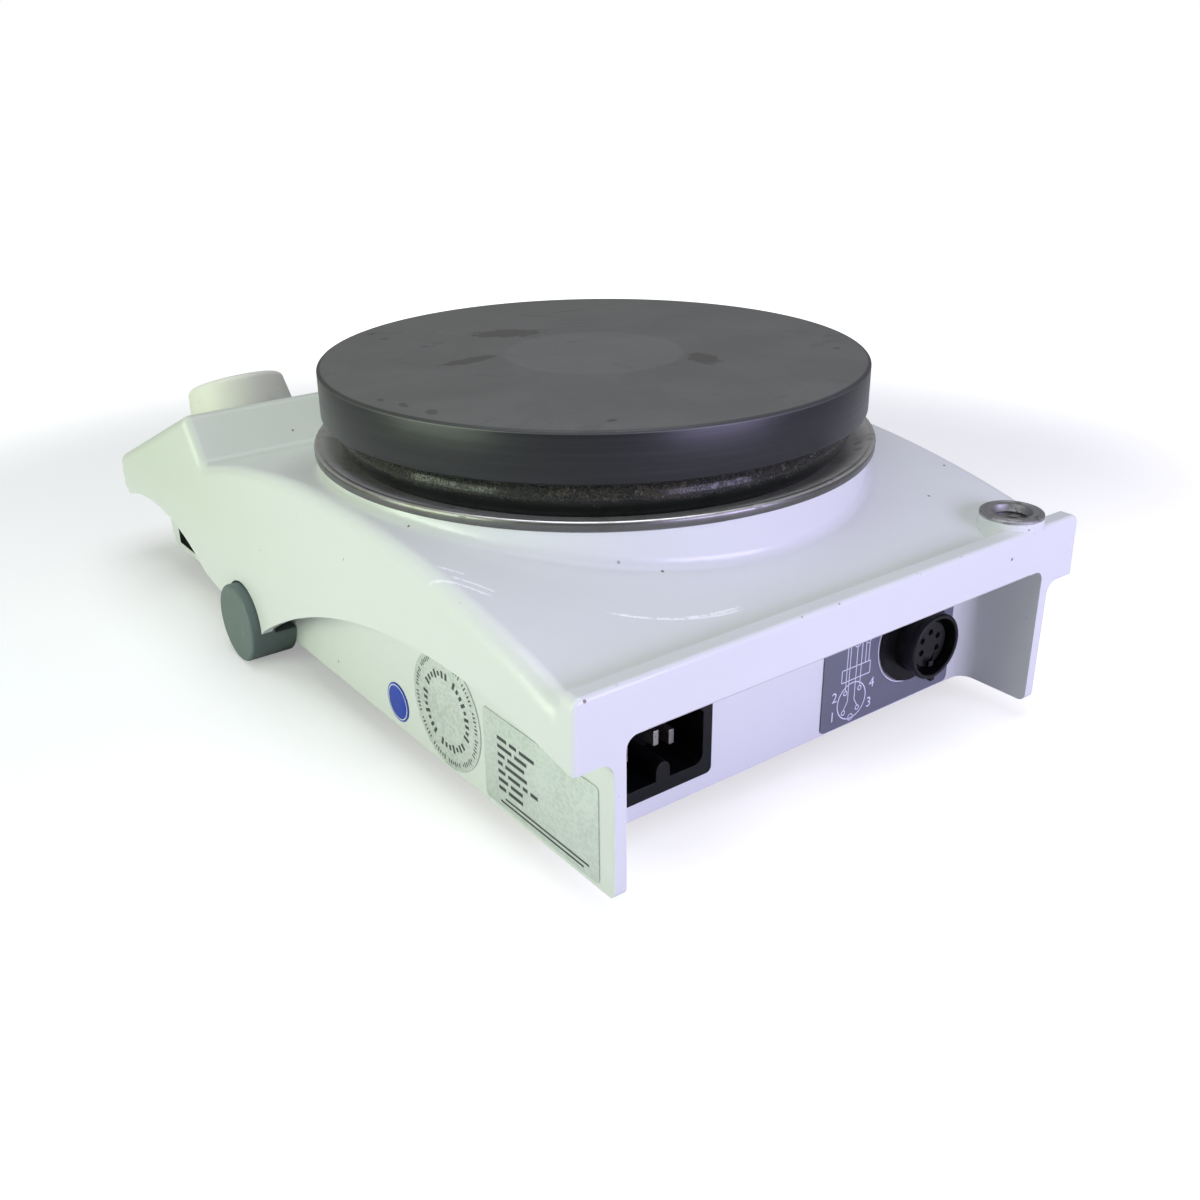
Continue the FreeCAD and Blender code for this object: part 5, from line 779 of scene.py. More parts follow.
class Paint(Enum):
    """Every finish of the stirrer."""

    CASTING = CastingCoat()
    PLATE = PlateMetal()
    RING = DustyRing()
    TRAY = WornSheet()
    ZINC = WornSheet("zinc_sheet", (0.52, 0.53, 0.54), (0.40, 0.41, 0.42), 0.32)
    STEEL = TurnedSteel()
    BUSH = TurnedSteel("bush_steel", (0.40, 0.40, 0.40), (0.16, 0.15, 0.13), 0.34)
    BRASS = TurnedSteel("plated_contacts", (0.40, 0.385, 0.36), (0.24, 0.20, 0.13), 0.25)
    MAGNET = TurnedSteel("plated_magnet", (0.60, 0.61, 0.63), (0.42, 0.42, 0.43), 0.16)
    FOOT = Moulding("foot_grey", (0.120, 0.158, 0.152), (0.20, 0.25, 0.235), 0.46, 0.7, 0.03, 0.4)
    KNOB = Moulding("knob_pale", (0.78, 0.775, 0.69), (0.60, 0.59, 0.52), 0.44, 0.6, 0.025, 0.45)
    BLACK = Moulding("black_moulding", (0.0035, 0.0040, 0.0045), (0.016, 0.018, 0.020),
                     0.26, 0.5, 0.02, 0.3, 0.3)
    CARRIER = Moulding("carrier_plastic", (0.02, 0.021, 0.022), (0.06, 0.06, 0.06), 0.5)
    CAN = Moulding("motor_lacquer", (0.045, 0.05, 0.055), (0.15, 0.15, 0.15), 0.35)
    # near-black painted shade for the casting's inside, its side windows and the deep bore
    RAW = Moulding("inside_shade", (0.035, 0.036, 0.035), (0.08, 0.08, 0.075), 0.6, 1.5, 0.08, 0.5)
    SHEET = Moulding("coated_sheet", (0.022, 0.022, 0.023), (0.07, 0.07, 0.068), 0.5, 0.8, 0.04, 0.4)
    RUBBER = Moulding("soft_rubber", (0.018, 0.018, 0.018), (0.05, 0.05, 0.048), 0.75, 0.9, 0.05, 0.5)
    SLATE = Film("slate_film", (0.138, 0.148, 0.180))
    PANEL = Film("panel_film", (0.085, 0.105, 0.125), 0.42)
    BLUE = Film("blue_film", (0.004, 0.040, 0.40), 0.30)
    FOIL = SilverFoil()
    PLAIN_FOIL = SilverFoil("plain_foil", (0.65, 0.70, 0.66), (0.54, 0.59, 0.56))
    WHITE_INK = Ink("white_ink", (0.74, 0.74, 0.84), (0.30, 0.30, 0.42))
    DARK_INK = Ink("dark_ink", (0.045, 0.05, 0.048), (0.30, 0.33, 0.31))
    BOARD = BoardLacquer()
    WOOL = MineralWool()
    WINDING = Windings()
    PANE = SmokedPane()
    AMBER = Lamp("amber_lens", (0.70, 0.26, 0.03))
    SEGMENT = Lamp("display_segment", (0.62, 0.09, 0.04))

    @cache
    def material(self) -> bpy.types.Material:
        """Returns the finish's material, built once."""
        return self.value.build()


# Mesh tools


def add_object(name: str, data: bpy.types.ID) -> bpy.types.Object:
    """Adds an object to the scene.

    Args:
        name: its name.
        data: its mesh, lamp or camera.

    Returns:
        The object.
    """
    item = bpy.data.objects.new(name, data)
    bpy.context.scene.collection.objects.link(item)
    return item


def mesh_of(name: str, bm: bmesh.types.BMesh) -> bpy.types.Mesh:
    """Turns a bmesh into a mesh.

    Args:
        name: the mesh's name.
        bm: the bmesh, which is freed.

    Returns:
        The mesh.
    """
    mesh = bpy.data.meshes.new(name)
    bm.to_mesh(mesh)
    bm.free()
    return mesh


def finish_mesh(name: str, bm: bmesh.types.BMesh, paint: Paint, body: str,
                even: bool = False) -> bpy.types.Object:
    """Turns a bmesh in millimetres into a piece that rides on a body.

    Args:
        name: the piece's name.
        bm: its mesh, which is freed.
        paint: its finish.
        body: the CAD body that it moves with.
        even: whether large faces keep flat shading beside narrow ones.

    Returns:
        The object.
    """
    bmesh.ops.scale(bm, vec=(MM, MM, MM), verts=bm.verts)
    mesh = mesh_of(name, bm)
    for polygon in mesh.polygons:
        polygon.use_smooth = True
    mesh.set_sharp_from_angle(angle=math.radians(SHARP_ANGLE))
    mesh.materials.append(paint.material())
    item = add_object(name, mesh)
    if even:
        item.modifiers.new("even_normals", "WEIGHTED_NORMAL").keep_sharp = True
    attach(item, body)
    log.info("%s: %d faces on %s", name, len(mesh.polygons), body)
    return item


def polar(radius: float, angle: float) -> Point:
    """The flat point at a radius and an angle in radians."""
    return radius * math.cos(angle), radius * math.sin(angle)


def arc(centre: Point, wide: float, high: float, start: float, end: float, steps: int) -> list[Point]:
    """Corners along a rounded part of an outline.

    Args:
        centre: middle of the curve.
        wide: its radius across.
        high: its radius in height.
        start: first angle in radians.
        end: last angle in radians.
        steps: parts between the two.

    Returns:
        The corners, with both ends.
    """
    angles = [start + (end - start) * step / steps for step in range(steps + 1)]
    return [(centre[0] + wide * math.cos(angle), centre[1] + high * math.sin(angle)) for angle in angles]


def lathe(outline: Sequence[Point], steps: int) -> bmesh.types.BMesh:
    """Spins an outline of (radius, height) round the Z axis.

    Args:
        outline: its corners; a radius of 0 lies on the axis, and any other outline is closed.
        steps: faces round the axis.

    Returns:
        The mesh, with its normals outwards.
    """
    bm = bmesh.new()
    corners = [bm.verts.new((radius, 0.0, height)) for radius, height in outline]
    edges = [bm.edges.new(pair) for pair in zip(corners, corners[1:])]
    if outline[0][0] > 0 and outline[-1][0] > 0:
        edges.append(bm.edges.new((corners[-1], corners[0])))
    bmesh.ops.spin(bm, geom=corners + edges, cent=(0, 0, 0), axis=(0, 0, 1), angle=math.tau,
                   steps=steps, use_merge=True)
    bmesh.ops.remove_doubles(bm, verts=bm.verts, dist=1e-4)
    bmesh.ops.recalc_face_normals(bm, faces=bm.faces)
    return bm


def soften(bm: bmesh.types.BMesh, width: float, above: float = 35.0,
           chosen: Callable[[bmesh.types.BMEdge], bool] | None = None) -> None:
    """Bevels a mesh's sharp edges.

    Args:
        bm: the mesh.
        width: the bevel's width in millimetres.
        above: dihedral angle in degrees that counts as sharp.
        chosen: a further test that an edge must pass.
    """
    limit = math.radians(above)
    edges = [edge for edge in bm.edges
             if len(edge.link_faces) == 2 and edge.calc_face_angle(0.0) > limit
             and (chosen is None or chosen(edge))]
    if edges:
        bmesh.ops.bevel(bm, geom=edges, offset=width, offset_type="OFFSET", segments=2, profile=0.5,
                        affect="EDGES", material=-1, clamp_overlap=True)


def merged_copy(node: str) -> bmesh.types.BMesh:
    """A CAD node's mesh in millimetres, with its loose triangles joined.

    Args:
        node: the node's name.

    Returns:
        The joined mesh.
    """
    bm = bmesh.new()
    bm.from_mesh(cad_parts[node].data)
    bmesh.ops.scale(bm, vec=(1 / MM, 1 / MM, 1 / MM), verts=bm.verts)
    bmesh.ops.remove_doubles(bm, verts=bm.verts, dist=2e-3)
    bmesh.ops.dissolve_limit(bm, angle_limit=math.radians(0.6), verts=bm.verts, edges=bm.edges)
    return bm


def mould(node: str, name: str, body: str, width: float, paint: Paint) -> None:
    """Replaces a CAD node by a copy with softened edges.

    Args:
        node: the CAD node.
        name: the piece's name.
        body: the body that it rides on.
        width: the bevel's width in millimetres.
        paint: its finish.
    """
    bm = merged_copy(node)
    soften(bm, width, 40)
    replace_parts(finish_mesh(name, bm, paint, body, even=True), node)


def axes(origin: Sequence[float], right: Sequence[float], up: Sequence[float]) -> Matrix:
    """A place for flat work, in millimetres.

    Args:
        origin: the point that becomes zero.
        right: direction of its X axis.
        up: direction of its Y axis.

    Returns:
        The matrix from the flat plane to the frame.
    """
    x = Vector(right).normalized()
    y = Vector(up).normalized()
    turn = Matrix((x, y, x.cross(y))).transposed().to_4x4()
    return Matrix.Translation(Vector(origin)) @ turn


class Print:
    """Thin printed marks on a flat place."""

    def __init__(self, name: str, place: Matrix, paint: Paint, lift: float = 0.04) -> None:
        """Starts an empty print.

        Args:
            name: the piece's name.
            place: where its plane lies.
            paint: its ink.
            lift: millimetres above that plane.
        """
        self.name = name
        self.place = place @ Matrix.Translation((0, 0, lift))
        self.paint = paint
        self.bm = bmesh.new()

    def bar(self, start: Sequence[float], end: Sequence[float], width: float) -> None:
        """Draws a straight stroke.

        Args:
            start: its first point.
            end: its last point.
            width: its width.
        """
        a, b = Vector((*start, 0)), Vector((*end, 0))
        run = b - a
        turn = Matrix.Rotation(math.atan2(run.y, run.x), 4, "Z")
        size = Matrix.Diagonal((run.length / 2, width / 2, 1, 1))
        bmesh.ops.create_grid(self.bm, x_segments=1, y_segments=1, size=1.0,
                              matrix=Matrix.Translation((a + b) / 2) @ turn @ size)

    def path(self, points: Sequence[Point], width: float) -> None:
        """Draws straight strokes from point to point."""
        for start, end in zip(points, points[1:]):
            self.bar(start, end, width)

    def ray(self, angle: float, inner: float, outer: float, width: float) -> None:
        """Draws a stroke that points away from zero, between two radii."""
        self.bar(polar(inner, angle), polar(outer, angle), width)

    def ring(self, centre: Sequence[float], radius: float, width: float, steps: int) -> None:
        """Draws a circle's line.

        Args:
            centre: its middle.
            radius: to the middle of the line.
            width: the line's width.
            steps: its segments.
        """
        at = Matrix.Translation((*centre, 0))
        loops = [bmesh.ops.create_circle(self.bm, cap_ends=False, segments=steps,
                                         radius=radius + side * width / 2, matrix=at)["verts"]
                 for side in (-1, 1)]
        edges = {edge for loop in loops for vert in loop for edge in vert.link_edges}
        bmesh.ops.bridge_loops(self.bm, edges=list(edges))

    def text(self, words: str, centre: Sequence[float], height: float) -> None:
        """Writes figures.

        Args:
            words: the figures.
            centre: their middle.
            height: size of the type.
        """
        curve = bpy.data.curves.new(f"{self.name}_type", "FONT")
        curve.body = words
        curve.size = height
        curve.align_x = "CENTER"
        curve.align_y = "CENTER"
        curve.resolution_u = 3
        item = bpy.data.objects.new(curve.name, curve)
        mesh = bpy.data.meshes.new_from_object(item)
        mesh.transform(Matrix.Translation((*centre, 0)))
        self.bm.from_mesh(mesh)
        bpy.data.objects.remove(item)
        bpy.data.curves.remove(curve)
        bpy.data.meshes.remove(mesh)

    def done(self, body: str) -> None:
        """Finishes the print.

        Args:
            body: the body that it rides on.
        """
        for face in self.bm.faces:
            if face.normal.z < 0:
                face.normal_flip()
        bmesh.ops.transform(self.bm, matrix=self.place, verts=self.bm.verts)
        finish_mesh(self.name, self.bm, self.paint, body)


def dress(paint: Paint, *nodes: str) -> None:
    """Gives CAD nodes a finish.

    Args:
        paint: the finish.
        nodes: the nodes' names.
    """
    for node in nodes:
        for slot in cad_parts[node].material_slots:
            slot.material = paint.material()
        log.info("%s: %s", node, paint.name.lower())


# Sub-assemblies


@dataclass
class Casting:
    """The coated casting and what is fixed to its outside."""

    boss_x: float = -64.0
    boss_y: float = 130.3
    bush_top: float = 60.1
    bush_depth: float = 13.9
    bush_radius: float = 7.0
    flange_radius: float = 8.2
    flange: float = 0.9
    thread: float = 4.25
    pitch: float = 1.5
    # depth of the bore's bright mouth; below it the bore is painted near-black as shade
    bright_depth: float = 3.6
    edge_break: float = 0.45
    room_x: float = 70.0
    room_y: tuple[float, float] = (-122.6, 114.5)
    window_x: tuple[float, float] = (68.0, 72.3)
    window_y: tuple[float, float] = (-123.0, -106.0)
    window_z: tuple[float, float] = (5.8, 16.0)
    front_room_end: float = -50.0
    front_ceiling: float = 36.0
    rear_ceiling: float = 50.0
    collar_ceiling: float = 68.0

    def build(self) -> None:
        """Dresses the casting and makes the rod bush and its feet."""
        self._shell()
        self._bush()
        for side in ("left", "right"):
            mould(f"front_foot_{side}", f"grey_foot_{side}", "base", 0.7, Paint.FOOT)
            mould(f"rear_foot_{side}", f"rubber_foot_{side}", "base", 0.6, Paint.RUBBER)
        dress(Paint.SHEET, "base_plate")
        dress(Paint.STEEL, "base_screws", "foot_screws")

    def _shell(self) -> None:
        """Makes the casting with softened edges, its inside and side-window lining painted near-black as
        shade.
        """
        bm = merged_copy("housing")
        soften(bm, self.edge_break, 32)
        piece = finish_mesh("coated_casting", bm, Paint.CASTING, "base", even=True)
        # painted shade: faces inside the casting and round the side windows get the near-black
        piece.data.materials.append(Paint.RAW.material())
        for face in piece.data.polygons:
            if self._inside(face.center / MM, face.normal):
                face.material_index = 1
        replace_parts(piece, "housing")

    def _inside(self, spot: Vector, normal: Vector) -> bool:
        """Whether a face looks into the closed space or lines a side window.

        Args:
            spot: its middle in millimetres.
            normal: its normal.

        Returns:
            True for a face painted near-black as shade.
        """
        limits = (self.window_x, self.window_y, self.window_z)
        if all(low < value < high for value, (low, high) in zip((abs(spot.x), spot.y, spot.z), limits)):
            return True
        if abs(spot.x) > self.room_x or not self.room_y[0] < spot.y < self.room_y[1]:
            return False
        ceiling = self.front_ceiling if spot.y < self.front_room_end else self.rear_ceiling
        return spot.z < ceiling or (normal.z < -0.3 and spot.z < self.collar_ceiling)

    def _bush(self) -> None:
        """Makes the bush with its thread and worn rim; deep in the bore it is painted near-black as
        shade.
        """
        top, low = self.bush_top, self.bush_top - self.bush_depth
        radius, wide, height = self.bush_radius, self.flange_radius, top - self.flange
        outline = [(self.thread + 0.6, low), (radius, low), (radius, height), (wide, height),
                   (wide, top - 0.25), (wide - 0.25, top), (radius + 0.15, top), (radius, top - 0.12),
                   (radius - 0.15, top), (5.35, top), (5.1, top - 0.4)]
        while height > low + self.pitch:
            outline += [(self.thread + 0.65, height), (self.thread, height - self.pitch / 2)]
            height -= self.pitch
        bm = lathe(outline, 72)
        bmesh.ops.translate(bm, vec=(self.boss_x, self.boss_y, 0), verts=bm.verts)
        piece = finish_mesh("threaded_bush", bm, Paint.BUSH, "base")
        piece.data.materials.append(Paint.RAW.material())
        for face in piece.data.polygons:
            spot = face.center / MM
            bore = math.hypot(spot.x - self.boss_x, spot.y - self.boss_y) < self.thread + 0.55
            # painted shade: the bore below bright_depth is near-black
            face.material_index = int(bore and spot.z < top - self.bright_depth)
        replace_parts(piece, "rod_insert")


@dataclass
class Hotplate:
    """The plate, the ring under it and the drip tray."""

    radius: float = 74.7
    bottom: float = 81.1
    groove_inner: float = 44.6
    groove_outer: float = 51.4
    groove_depth: float = 3.4
    ring_inner: float = 64.0
    ring_middle: Point = (65.3, 76.2)
    ring_wide: float = 5.2
    ring_high: float = 5.0
    tray: float = 70.4
    tray_inner: float = 60.0
    tray_flat: float = 69.6
    tray_sheet: float = 0.8
    rim_rise: float = 2.55
    rim_middle: float = 76.45
    rim_round: float = 0.9

    def build(self) -> None:
        """Makes the three turned pieces and dresses what is under them."""
        self._plate()
        self._ring()
        self._tray()
        dress(Paint.STEEL, "heater_element", "clamp_screws", "plate_posts", "plate_screws",
              "plate_sensor")
        dress(Paint.ZINC, "heater_clamp", "heat_shield")
        dress(Paint.WOOL, "insulation_disc")

    def _put(self, name: str, bm: bmesh.types.BMesh, paint: Paint, node: str) -> None:
        """Centres a turned piece and lets it stand for its node.

        Args:
            name: the piece's name.
            bm: its mesh.
            paint: its finish.
            node: the node that it replaces.
        """
        bmesh.ops.translate(bm, vec=(*PLATE_CENTRE, 0), verts=bm.verts)
        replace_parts(finish_mesh(name, bm, paint, "base"), node)

    def _plate(self) -> None:
        """The turned plate with a fine chamfer and the heater's groove below."""
        r, low, high, groove = self.radius, self.bottom, PLATE_TOP, self.bottom + self.groove_depth
        outline = [(0, high), (r * 0.33, high), (r * 0.66, high), (r - 0.55, high), (r, high - 0.55),
                   (r, low + 0.6), (r - 0.6, low), (self.groove_outer, low), (self.groove_outer, groove),
                   (self.groove_inner, groove), (self.groove_inner, low), (0, low)]
        bm = lathe(outline, 256)
        soften(bm, 0.18, 30, lambda edge: max(v.co.xy.length for v in edge.verts) > r - 1)
        self._put("turned_plate", bm, Paint.PLATE, "heating_plate")

    def _ring(self) -> None:
        """The black ring with its rounded side."""
        low, high = self.tray + self.tray_sheet, self.bottom
        side = arc(self.ring_middle, self.ring_wide, self.ring_high,
                   -0.38 * math.pi, 0.42 * math.pi, 12)[1:-1]
        outline = [(self.ring_inner, low), (67.5, low), *side, (66.5, high), (self.ring_inner, high)]
        bm = lathe(outline, 220)
        self._put("shoulder_ring", bm, Paint.RING, "insulating_ring")

    def _tray(self) -> None:
        """The dish with its rolled rim."""
        low, high = self.tray, self.tray + self.tray_sheet
        rim, curl = high + self.rim_rise, self.rim_round
        outline = [(self.tray_inner, low), (self.tray_flat, low), (76.0, rim - 1.15), (76.5, rim - 1.2),
                   (76.6, rim - 2.5), (77.3, rim - 2.5),
                   *arc((self.rim_middle, rim - 0.95), curl, curl, 0, math.pi / 2, 4),
                   (75.6, rim - 0.25), (self.tray_flat, high), (self.tray_inner, high)]
        bm = lathe(outline, 256)
        soften(bm, 0.12, 40)
        self._put("rolled_tray", bm, Paint.TRAY, "drip_tray")


@dataclass
class ControlPanel:
    """The sloped panel in front: film, knobs, switch, display and lamps."""

    slope: float = 22.9
    nose: tuple[float, float] = (-138.5, 37.5)
    knob_x: float = 50.0
    knob_up: float = 44.0
    foot: float = 1.1
    height: float = 11.4
    shell: float = 4.4
    film: float = 0.2
    rim_round: float = 2.4
    first: float = 225.0
    sweep: float = 270.0
    tick: float = 18.4
    figures: float = 22.6
    switch_up: float = 26.0
    switch_side: float = 15.5
    display_up: float = 53.0
    display_depth: float = 1.35

    def spot(self, x: float, up: float, out: float = 0.0) -> Vector:
        """A point on the panel.

        Args:
            x: distance from its middle.
            up: distance up the slope from the nose.
            out: distance off its face.

        Returns:
            The point in the frame.
        """
        tilt = math.radians(self.slope)
        return Vector((x, self.nose[0] + up * math.cos(tilt) - out * math.sin(tilt),
                       self.nose[1] + up * math.sin(tilt) + out * math.cos(tilt)))

    def place(self, x: float, up: float, out: float = 0.0) -> Matrix:
        """The plane of the panel at a point."""
        tilt = math.radians(self.slope)
        return axes(self.spot(x, up, out), (1, 0, 0), (0, math.cos(tilt), math.sin(tilt)))

    def build(self) -> None:
        """Makes the knobs and prints, and dresses the rest."""
        dress(Paint.PANEL, "panel_overlay")
        dress(Paint.PANE, "display_window")
        dress(Paint.BLACK, "display_module")
        mould("rocker_frame", "switch_bezel", "base", 0.3, Paint.BLACK)
        mould("power_rocker", "switch_rocker", "power_control", 0.45, Paint.BLACK)
        dress(Paint.BOARD, "control_board")
        dress(Paint.AMBER, "led_lenses")
        dress(Paint.STEEL, "board_spacers", "board_screws", "heat_pot", "stir_pot", "heat_spindle",
              "stir_spindle", "pot_nuts", "rocker_pivot")
        self._knob("stir", self.knob_x, "stir_control")
        self._knob("heat", -self.knob_x, "heat_control")
        self._scales()
        self._display()

    def _knob(self, kind: str, x: float, body: str) -> None:
        """A tapered knob with a rounded rim and an inlaid line.

        Args:
            kind: which control it turns.
            x: its place across the panel.
            body: the body that it rides on.
        """
        top, low, rim = self.foot + self.height, self.foot, self.rim_round
        seat = top - self.shell
        outline = [(0, seat), (3.0, seat), (3.0, 2.8), (5.2, 2.8), (5.2, top - 3.2), (13.9, top - 3.2),
                   (15.0, low), (16.9, low), (17.2, low + 0.3), (17.2, low + 1.2),
                   *arc((13.72, top - rim), rim, rim, 0, math.pi / 2, 8), (9.0, top), (0, top)]
        bm = lathe(outline, 160)
        bmesh.ops.transform(bm, matrix=self.place(x, self.knob_up), verts=bm.verts)
        piece = finish_mesh(f"{kind}_knob_cap", bm, Paint.KNOB, body)
        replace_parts(piece, f"{kind}_knob")
        line = Print(f"{kind}_knob_line", self.place(x, self.knob_up, top), Paint.DARK_INK, 0.03)
        line.ray(math.radians(self.first), 5.2, 13.4, 1.3)
        line.done(body)

    def _scales(self) -> None:
        """Ticks and figures round both knobs."""
        for kind, x in (("stir", self.knob_x), ("heat", -self.knob_x)):
            marks = Print(f"{kind}_scale", self.place(x, self.knob_up, self.film), Paint.WHITE_INK)
            for step in range(21):
                angle = math.radians(self.first - self.sweep * step / 20)
                length, width = (1.8, 0.45) if step % 2 == 0 else (0.9, 0.3)
                marks.ray(angle, self.tick, self.tick + length, width)
                if step % 4 == 0:
                    marks.text(str(step // 2), polar(self.figures, angle), 3.2)
            marks.done("base")
        switch = Print("switch_marks", self.place(0, self.switch_up, self.film), Paint.WHITE_INK)
        switch.text("0", (-self.switch_side, 0), 3.4)
        switch.text("1", (self.switch_side, 0), 3.4)
        switch.done("base")

    def _display(self) -> None:
        """Four noughts behind the pane, each of six strokes."""
        place = self.place(0, self.display_up, -self.display_depth)
        digits = Print("display_figures", place, Paint.SEGMENT, 0.0)
        for column in range(4):
            shift = -10.5 + 7.0 * column
            for y in (4, -4):
                digits.bar((shift - 1, y), (shift + 1, y), 0.75)
            for low, high in ((0.6, 3.4), (-3.4, -0.6)):
                for x in (shift - 1.6, shift + 1.6):
                    digits.bar((x, low), (x, high), 0.75)
        digits.done("base")


@dataclass
class RearPanel:
    """Mains inlet, sensor socket and the slate plate with its diagram."""

    face: float = 117.3
    plate_lift: float = 0.4
    diagram_x: float = -22.3
    diagram_z: float = 13.1
    lead_top: float = 24.0
    socket_x: float = -44.5
    socket_z: float = 25.1

    def build(self) -> None:
        """Softens the mouldings and draws the diagram."""
        dress(Paint.SLATE, "rear_label")
        dress(Paint.BRASS, "socket_contacts")
        for node, name, width in (("mains_inlet", "plug_inlet", 0.25),
                                  ("sensor_socket", "round_socket", 0.2),
                                  ("socket_insert", "socket_core", 0.12)):
            mould(node, name, "base", width, Paint.BLACK)
        mould("inlet_pins", "plug_blades", "base", 0.16, Paint.BRASS)
        self._diagram()

    def _diagram(self) -> None:
        """Draws the wiring diagram: a socket with four contacts, its leads and their numbers."""
        centre = (self.diagram_x, self.face + self.plate_lift, self.diagram_z)
        place = axes(centre, (-1, 0, 0), (0, 0, 1))
        art = Print("socket_diagram", place, Paint.WHITE_INK)
        art.ring((self.diagram_x - self.socket_x, self.socket_z - self.diagram_z), 13.0, 0.3, 96)
        art.ring((0, 0), 5.3, 0.34, 64)
        art.ring((0, -5.0), 0.9, 0.26, 24)
        for contact in ((-2.9, -2.85), (-2.6, 2.9), (2.4, -2.9), (2.8, 2.85)):
            art.ring(contact, 0.62, 0.3, 24)
        top = self.lead_top
        for lead in (((-2.9, -2.2), (-1.5, 0.2), (-1.5, top)), ((-2.6, 3.5), (-2.5, top)),
                     ((2.4, -2.3), (1.0, 0.0), (1.0, top)), ((2.8, 3.5), (2.8, top)),
                     ((4.3, 9.9), (4.3, top)), ((5.6, 9.9), (5.6, top))):
            art.path(lead, 0.28)
        art.path(((-4.3, 6.3), (6.3, 6.3), (6.3, 9.9), (-4.3, 9.9), (-4.3, 6.3)), 0.3)
        for x in (1.0, 5.0):
            art.ring((x, 16.4), 1.0, 0.28, 20)
        for figure, spot in (("1", (-7.0, -2.9)), ("2", (-6.6, 2.7)), ("3", (6.9, -2.9)),
                             ("4", (7.5, 2.8))):
            art.text(figure, spot, 4.2)
        art.done("base")


@dataclass
class SideFoils:
    """Three foils on the lower wall: a small blue disc, a silver disc and a silver plate."""

    wall: float = 72.2
    sheet: float = 0.3
    blue: Point = (45.0, 13.3)
    blue_radius: float = 5.5
    disc: Point = (70.9, 22.0)
    disc_radius: float = 15.8
    plate: Point = (110.8, 19.3)
    plate_size: Point = (45.0, 24.6)
    plate_corner: float = 1.2

    def build(self) -> None:
        """Makes the foils and their plain decoration."""
        self._disc("blue_foil", self.blue, self.blue_radius, Paint.BLUE)
        self._disc("silver_disc", self.disc, self.disc_radius, Paint.FOIL)
        self._plate()
        self._marks()

    def _stand(self, spot: Point) -> Matrix:
        """The wall's plane at a depth and height, seen from its outside."""
        return axes((self.wall, *spot), (0, 1, 0), (0, 0, 1))

    def _disc(self, name: str, spot: Point, radius: float, paint: Paint) -> None:
        """A round foil with a soft edge.

        Args:
            name: the piece's name.
            spot: its depth and height on the wall.
            radius: its radius.
            paint: its finish.
        """
        bm = lathe([(0, 0), (radius, 0), (radius, self.sheet), (0, self.sheet)], 96)
        soften(bm, 0.08)
        bmesh.ops.transform(bm, matrix=self._stand(spot), verts=bm.verts)
        finish_mesh(name, bm, paint, "base")

    def _plate(self) -> None:
        """The rectangular foil with round corners."""
        bm = bmesh.new()
        bmesh.ops.create_cube(bm, size=1.0, matrix=Matrix.Diagonal((*self.plate_size, self.sheet, 1)))
        upright = [edge for edge in bm.edges if abs(edge.verts[0].co.z - edge.verts[1].co.z) > 0.1]
        bmesh.ops.bevel(bm, geom=upright, offset=self.plate_corner, offset_type="OFFSET", segments=5,
                        profile=0.5, affect="EDGES", material=-1)
        soften(bm, 0.07)
        place = self._stand(self.plate) @ Matrix.Translation((0, 0, self.sheet / 2))
        bmesh.ops.transform(bm, matrix=place, verts=bm.verts)
        piece = finish_mesh("silver_plate", bm, Paint.PLAIN_FOIL, "base")
        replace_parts(piece, "side_stickers")

    def _marks(self) -> None:
        """A ring, radial strokes and plain bars on the foils."""
        lift = self.sheet + 0.03
        white = Print("blue_foil_ring", self._stand(self.blue), Paint.WHITE_INK, lift)
        white.ring((0, 0), 4.9, 0.3, 64)
        white.done("base")
        dark = Print("silver_disc_blocks", self._stand(self.disc), Paint.DARK_INK, lift)
        for radius, count, tall, width, gap in ((14.0, 84, 0.75, 0.42, 7), (9.9, 34, 1.15, 0.95, 8)):
            for step in range(count):
                angle = math.tau * step / count
                if step % gap == gap - 1:
                    continue
                high = tall * (0.75 + 0.25 * math.sin(step * 2.4))
                dark.ray(angle, radius - high, radius + high, width)
        dark.done("base")
        rows = Print("silver_plate_rows", self._stand(self.plate), Paint.DARK_INK, lift)
        for row, words in enumerate(((4, 3, 6), (6, 5), (3, 7), (2, 9), (3, 5, 2, 3), (4, 5), (3, 6))):
            x, y = -16.5, 6.6 - 2.25 * row
            for word in words:
                rows.bar((x, y), (x + word, y), 1.0)
                x += word + 1.1
        for row, start in enumerate((-14.0, -16.0)):
            rows.bar((start, -9.3 - 1.3 * row), (start + 33.0, -9.3 - 1.3 * row), 0.55)
        rows.done("base")


@dataclass
class Drive:
    """Motor, shaft and magnets under the plate."""

    def build(self) -> None:
        """Dresses the drive."""
        dress(Paint.CAN, "motor_can")
        dress(Paint.STEEL, "motor_stator", "motor_rotor", "motor_shaft", "bearings", "motor_standoffs",
              "motor_screws")
        dress(Paint.ZINC, "motor_bracket")
        dress(Paint.CARRIER, "magnet_carrier")
        dress(Paint.MAGNET, "drive_magnets")


@dataclass
class Supply:
    """The power board and what stands on it."""

    def build(self) -> None:
        """Dresses the supply."""
        dress(Paint.BOARD, "power_board")
        dress(Paint.STEEL, "power_board_spacers", "triac_heatsink")
        dress(Paint.WINDING, "transformer")
        dress(Paint.CARRIER, "capacitors")
        dress(Paint.FOOT, "terminal_block")


